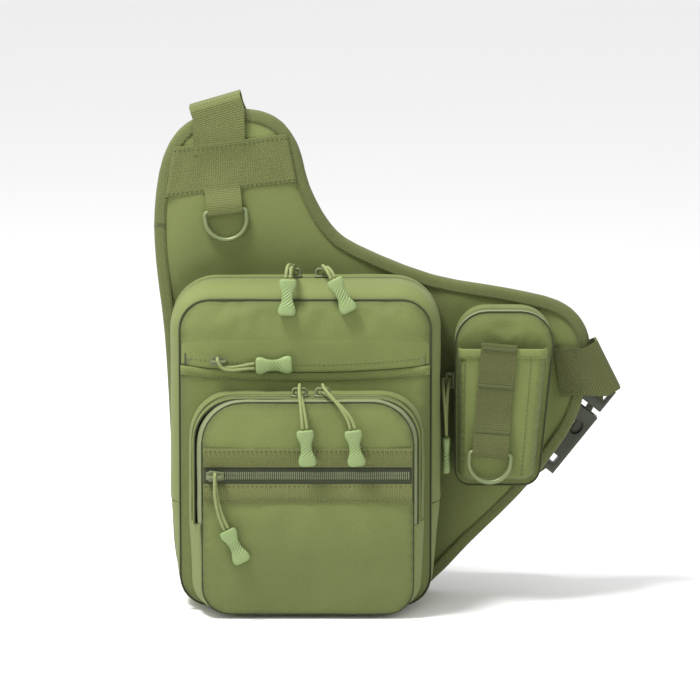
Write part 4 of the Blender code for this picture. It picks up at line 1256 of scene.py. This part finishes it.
def shoulder_strap():
    """Webbing over the top of the panel, down behind it in a slack loop and up to the buckle."""
    edges = [((-83.6, 27.6, 332.0), (-45.4, 27.6, 336.3)), ((-83.6, 27.2, 338.0), (-45.2, 27.0, 342.3)),
             ((-83.6, 26.2, 347.0), (-45.2, 26.0, 353.3))]
    edges += fold(((-83.0, 26.0, 356.0), (-45.5, 26.0, 367.0)), STRAP_REAR)
    across = STRAP_ACROSS * WEB / 2
    for reach in (24, 60, 100, 140, 165):
        middle = STRAP_START + STRAP_DOWN * reach
        edges.append((middle - across, middle + across))
    loop = [((25, 56, 176), 25), ((44, 62, 144), 55), ((66, 66, 110), 82), ((90, 66, 82), 90),
            ((112, 66, 70), 90), ((133, 64, 72), 84), ((146, 60, 82), 50), ((155, 55, 92), 18)]
    for i, (middle, turn) in enumerate(loop):
        flat = STRAP_ACROSS.lerp(BUCKLE_ACROSS, i / (len(loop) - 1)).normalized()
        angle = math.radians(turn)
        half = (flat * math.cos(angle) + Vector((0, 1, 0)) * math.sin(angle)) * WEB / 2
        edges.append((Vector(middle) - half, Vector(middle) + half))
    half = BUCKLE_ACROSS * WEB / 2
    end = BUCKLE_BAR + BUCKLE_AXIS * 72
    edges.append((end - half, end + half))
    ribbon("shoulder_strap_web", edges, "bag", "shoulder_strap", between=(
        "bag", "buckle_female", (0.125, 0, 0), (0.156, 0, 0)))


def wing_strap():
    """Webbing sewn to the wing's front, folded round its edge and led to the buckle."""
    front = PANEL_FRONT - 2.8
    along, up = Vector((0.989, 0, 0.15)), Vector((-0.15, 0, 0.989)) * WEB / 2
    edges = []
    for reach in (0, 5, 10):
        middle = Vector((188.6, front, 168.4)) + along * reach
        edges.append((middle - up, middle + up))
    low, high = Vector((224.5, front, 150.5)), Vector((206.5, front, 186.5))
    edges += fold((low, high), WING_STRAP_REAR, -1)
    half = BUCKLE_ACROSS * WEB / 2
    end = BUCKLE_BAR + BUCKLE_AXIS * 7
    end.y = WING_STRAP_REAR
    edges.append((end + half, end - half))
    # the wing's webbing takes the painted-shade copy of the webbing
    ribbon("wing_strap_web", edges, "bag", "wing_strap", material=SHADED_WEBBING)
    corners = [Vector((188.6, front - 0.9, 168.4)) + along * a + up * b
               for a, b in ((1.8, -0.86), (15.5, -0.86), (15.5, 0.86), (1.8, 0.86))]
    stitches("wing_stitch_box", corners, "bag", closed=True)
    for label, a, b in (("down", 0, 2), ("up", 1, 3)):
        path = [corners[a].lerp(corners[b], t) for t in (0.04, 0.96)]
        stitches(f"wing_stitch_{label}", path, "bag")


# ---------------------------------------------------------------- pulls

CORD_RADIUS = 1.2
SLIDER_BAR_RADIUS = 1.2
GRIP_LONG = 27.0
GRIP_HALF_WIDTH = 6.4
GRIP_HALF_DEPTH = 2.9
GRIP_PROFILE = (
    # share of the length, share of the width, share of the depth
    (0, 0.55, 0.5), (0.012, 0.8, 0.82), (0.04, 0.95, 0.98), (0.10, 1.0, 1.0), (0.17, 0.99, 0.99),
    (0.26, 0.83, 0.92), (0.36, 0.69, 0.86), (0.5, 0.64, 0.84), (0.62, 0.70, 0.86), (0.72, 0.87, 0.93),
    (0.84, 1.03, 1.0), (0.93, 1.0, 1.0), (0.975, 0.9, 0.9), (1.0, 0.66, 0.6),
)
LEFT, RIGHT, FORWARD, UP = (-1, 0, 0), (1, 0, 0), (0, -1, 0), (0, 0, 1)
SIDEWAYS = (1.7, 0, 0)
PULLS = (
    # name, zip direction, cord leaves towards, grip top, grip run, grip face, half the cord's spread
    ("main_left", RIGHT, (0, -1, 0.1), (-12.5, -34.5, 249), (-0.04, -0.12, -1), FORWARD, SIDEWAYS),
    ("main_right", RIGHT, (0, -1, 0.1), (21, -34.5, 249), (0.5, -0.12, -1), FORWARD, SIDEWAYS),
    ("pocket_left", RIGHT, (0, -1, 0.1), (0, -71.5, 143), (0.08, 0.02, -1), FORWARD, SIDEWAYS),
    ("pocket_right", RIGHT, (0, -1, 0.1), (35, -71.5, 143), (0.12, 0.02, -1), FORWARD, SIDEWAYS),
    ("face", RIGHT, (0, -0.2, -1), (-57.5, -69.5, 68), (0.5, 0, -1), FORWARD, SIDEWAYS),
    ("hidden", RIGHT, (0.25, -0.2, -1), (-36.5, -39, 185), (1, 0, 0.04), FORWARD, (0, 0, 1.7)),
    ("pouch", UP, (-0.1, -1, -0.25), (104.6, -9, 126), (0, 0.02, -1), LEFT, (0, 1.7, 0)),
)


def grip(name, top, run, face):
    """A dog-bone grip of soft rubber with a ridged waist and a moulded rim."""
    top, run, face = Vector(top), Vector(run).normalized(), Vector(face)
    side = run.cross(face).normalized()
    face = side.cross(run)
    rings = []
    for share, wide, thick in spaced(GRIP_PROFILE, 44):
        waist = math.exp(-((share - 0.5) / 0.26) ** 4)
        ring = []
        for k in range(36):
            a = 2 * math.pi * k / 36
            x = math.copysign(abs(math.cos(a)) ** 0.7, math.cos(a)) * GRIP_HALF_WIDTH * wide
            y = math.copysign(abs(math.sin(a)) ** 0.7, math.sin(a)) * GRIP_HALF_DEPTH * thick
            ridge = 1 + 0.05 * waist * math.sin((share * GRIP_LONG + x) * 2 * math.pi / 2.7)
            ring.append(top + run * (GRIP_LONG * share) + side * x + face * (y * ridge * (1 - 0.06 * waist)))
        rings.append(ring)
    obj = grid(name + "_rubber", rings, RUBBER, close_across=True)
    close_up(obj)
    settle(obj, name + "_pull", name + "_grip", slot="grip_rubber")


def pull_cord(name, axis, leave, top, run, spread):
    """The cord from its grip, round the slider's bar and back into the grip."""
    bar = pivot(name + "_swing")
    axis, leave = Vector(axis).normalized(), Vector(leave).normalized()
    top, run, spread = Vector(top), Vector(run).normalized(), Vector(spread)
    turn = SLIDER_BAR_RADIUS + CORD_RADIUS + 0.3
    normal = axis.cross(leave)
    spread -= run * spread.dot(run)
    end = top - run * 0.8
    reach = (end - bar).length
    controls = [bar, bar + leave * reach * 0.35, end - run * reach * 0.35, end]

    def centre(t):
        a, b, c, d = controls
        return a * (1 - t) ** 3 + b * 3 * t * (1 - t) ** 2 + c * 3 * t * t * (1 - t) + d * t ** 3

    shares = (1, 0.86, 0.7, 0.54, 0.38, 0.2)
    strands = []
    for sign in (1, -1):
        aside = [normal * turn * (1 - t) ** 1.5 + spread * t ** 0.7 for t in shares]
        strands.append([centre(t) + sign * shift for t, shift in zip(shares, aside)])
    around = [bar + leave * turn * math.cos(a) + normal * turn * math.sin(a)
              for a in np.radians((90, 125, 160, 200, 235, 270))]
    route = spaced(strands[0] + around + strands[1][::-1], 90)
    cord = tube(name + "_braid", route, CORD_RADIUS, CORD_BRAID, sides=12)
    if name in ("hidden", "pouch"):
        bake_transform(cord)
    else:
        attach(cord, name + "_pull")
    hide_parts(name + "_cord")


TOP_KEEPER = [(3.2, 19), (3.1, 12), (2.6, 4), *hairpin()[1:-1], (-2.6, 4), (-1.2, 9), (1.0, 15), (1.7, 19)]
POUCH_WEB = [(2.9, 14), (2.8, 9), (2.6, 4), *hairpin()[1:-1], (-2.6, 4), (-2.0, 9), (0.2, 17), (1.8, 26),
             (2.1, 45), (2.2, 64), (2.3, 82)]


def rings():
    """The two D-rings, the webbing that holds them and the bar tacks on the pouch's webbing."""
    d_ring("top_d_ring", "top_ring_swing", TOP_TILT)
    d_ring("side_d_ring", "side_ring_swing", SIDE_TILT)
    keeper("top_keeper_web", "top_keeper", "top_ring_swing", TOP_TILT, TOP_KEEPER, "bag")
    # the pouch's webbing takes the painted-shade copy of the webbing
    keeper("pouch_web", "pouch_webbing", "side_ring_swing", SIDE_TILT, POUCH_WEB, "pouch_lid", SHADED_WEBBING)
    turn = Matrix.Rotation(math.radians(SIDE_TILT), 4, "Y")
    ring = pivot("side_ring_swing")
    for label, y, rise in (("low", -0.9, 16), ("middle", 1.2, 50), ("high", 1.2, 78)):
        ends = [ring + turn @ Vector((x, y, rise)) for x in (-12.2, 12.2)]
        tack(f"pouch_tack_{label}", *ends, "pouch_lid", (0, -1, 0))


def hardware():
    """The sliders with their pulls, the buckle and the adjuster."""
    for name, along, leave, top, run, face, spread in PULLS:
        refined(name + "_slider", 0.3, SLIDER_PAINT, "slider_metal")
        grip(name, top, run, face)
        pull_cord(name, along, leave, top, run, spread)
    for node, bevel in (("buckle_male", 0.9), ("buckle_female", 0.9), ("tri_glide", 0.9),
                        ("buckle_prong_left", 0.4), ("buckle_prong_right", 0.4)):
        refined(node, bevel, BLACK_PLASTIC, "buckle_plastic")


# ---------------------------------------------------------------- floor, light and camera

def light(name, place, aim, size, energy):
    data = bpy.data.lights.new(name, "AREA")
    data.shape = "DISK"
    data.size = size
    data.energy = energy
    obj = bpy.data.objects.new(name, data)
    bpy.context.scene.collection.objects.link(obj)
    obj.location = place
    obj.rotation_euler = (Vector(aim) - Vector(place)).to_track_quat("-Z", "Y").to_euler()


FLOOR_WHITE = (0.94, 0.94, 0.94)
AIM = Vector((0.033, -0.062, 0.201))
CAMERA_REACH = 4.0
CAMERA_TILT = math.radians(10)
SENSOR = 36
VIEW_HALF_WIDTH = 0.256


def floor():
    """A plain pale floor just under the bag."""
    bpy.ops.mesh.primitive_plane_add(size=60, location=(0, 0, -0.0006))
    ground = bpy.context.object
    ground.name = "studio_floor"
    pale = Shade("pale_floor", FLOOR_WHITE, 0.9, specular=0.1)
    pale.finish(pale.scaled(FLOOR_WHITE, pale.ramp(pale.noise(2.0), 0.99, 1.01)))
    ground.data.materials.append(pale.material)


def lights():
    """A white surround, a soft key from above on the left and a weak fill."""
    world = bpy.data.worlds.new("studio")
    world.use_nodes = True
    background = world.node_tree.nodes["Background"]
    background.inputs["Color"].default_value = (1, 1, 1, 1)
    background.inputs["Strength"].default_value = 0.89
    bpy.context.scene.world = world
    light("key", (-0.45, -0.30, 1.45), (0.0, 0, 0.17), 0.45, 27)
    light("fill", (-1.3, -1.5, 0.6), (0.03, 0, 0.17), 1.0, 3)


def view():
    """A long lens, straight in front and a little above."""
    data = bpy.data.cameras.new("camera")
    camera = bpy.data.objects.new("camera", data)
    scene = bpy.context.scene
    scene.collection.objects.link(camera)
    camera.location = AIM + Vector((0, -math.cos(CAMERA_TILT), math.sin(CAMERA_TILT))) * CAMERA_REACH
    camera.rotation_euler = (AIM - camera.location).to_track_quat("-Z", "Y").to_euler()
    data.sensor_width = SENSOR
    data.lens = SENSOR / 2 * CAMERA_REACH / VIEW_HALF_WIDTH
    scene.camera = camera
    scene.view_settings.view_transform = "Standard"


back_panel()
main_compartment()
slip_pocket()
hidden_zip()
front_pocket()
side_pouch()
sleeve()
top_band()
shoulder_strap()
wing_strap()
rings()
hardware()
floor()
lights()
view()
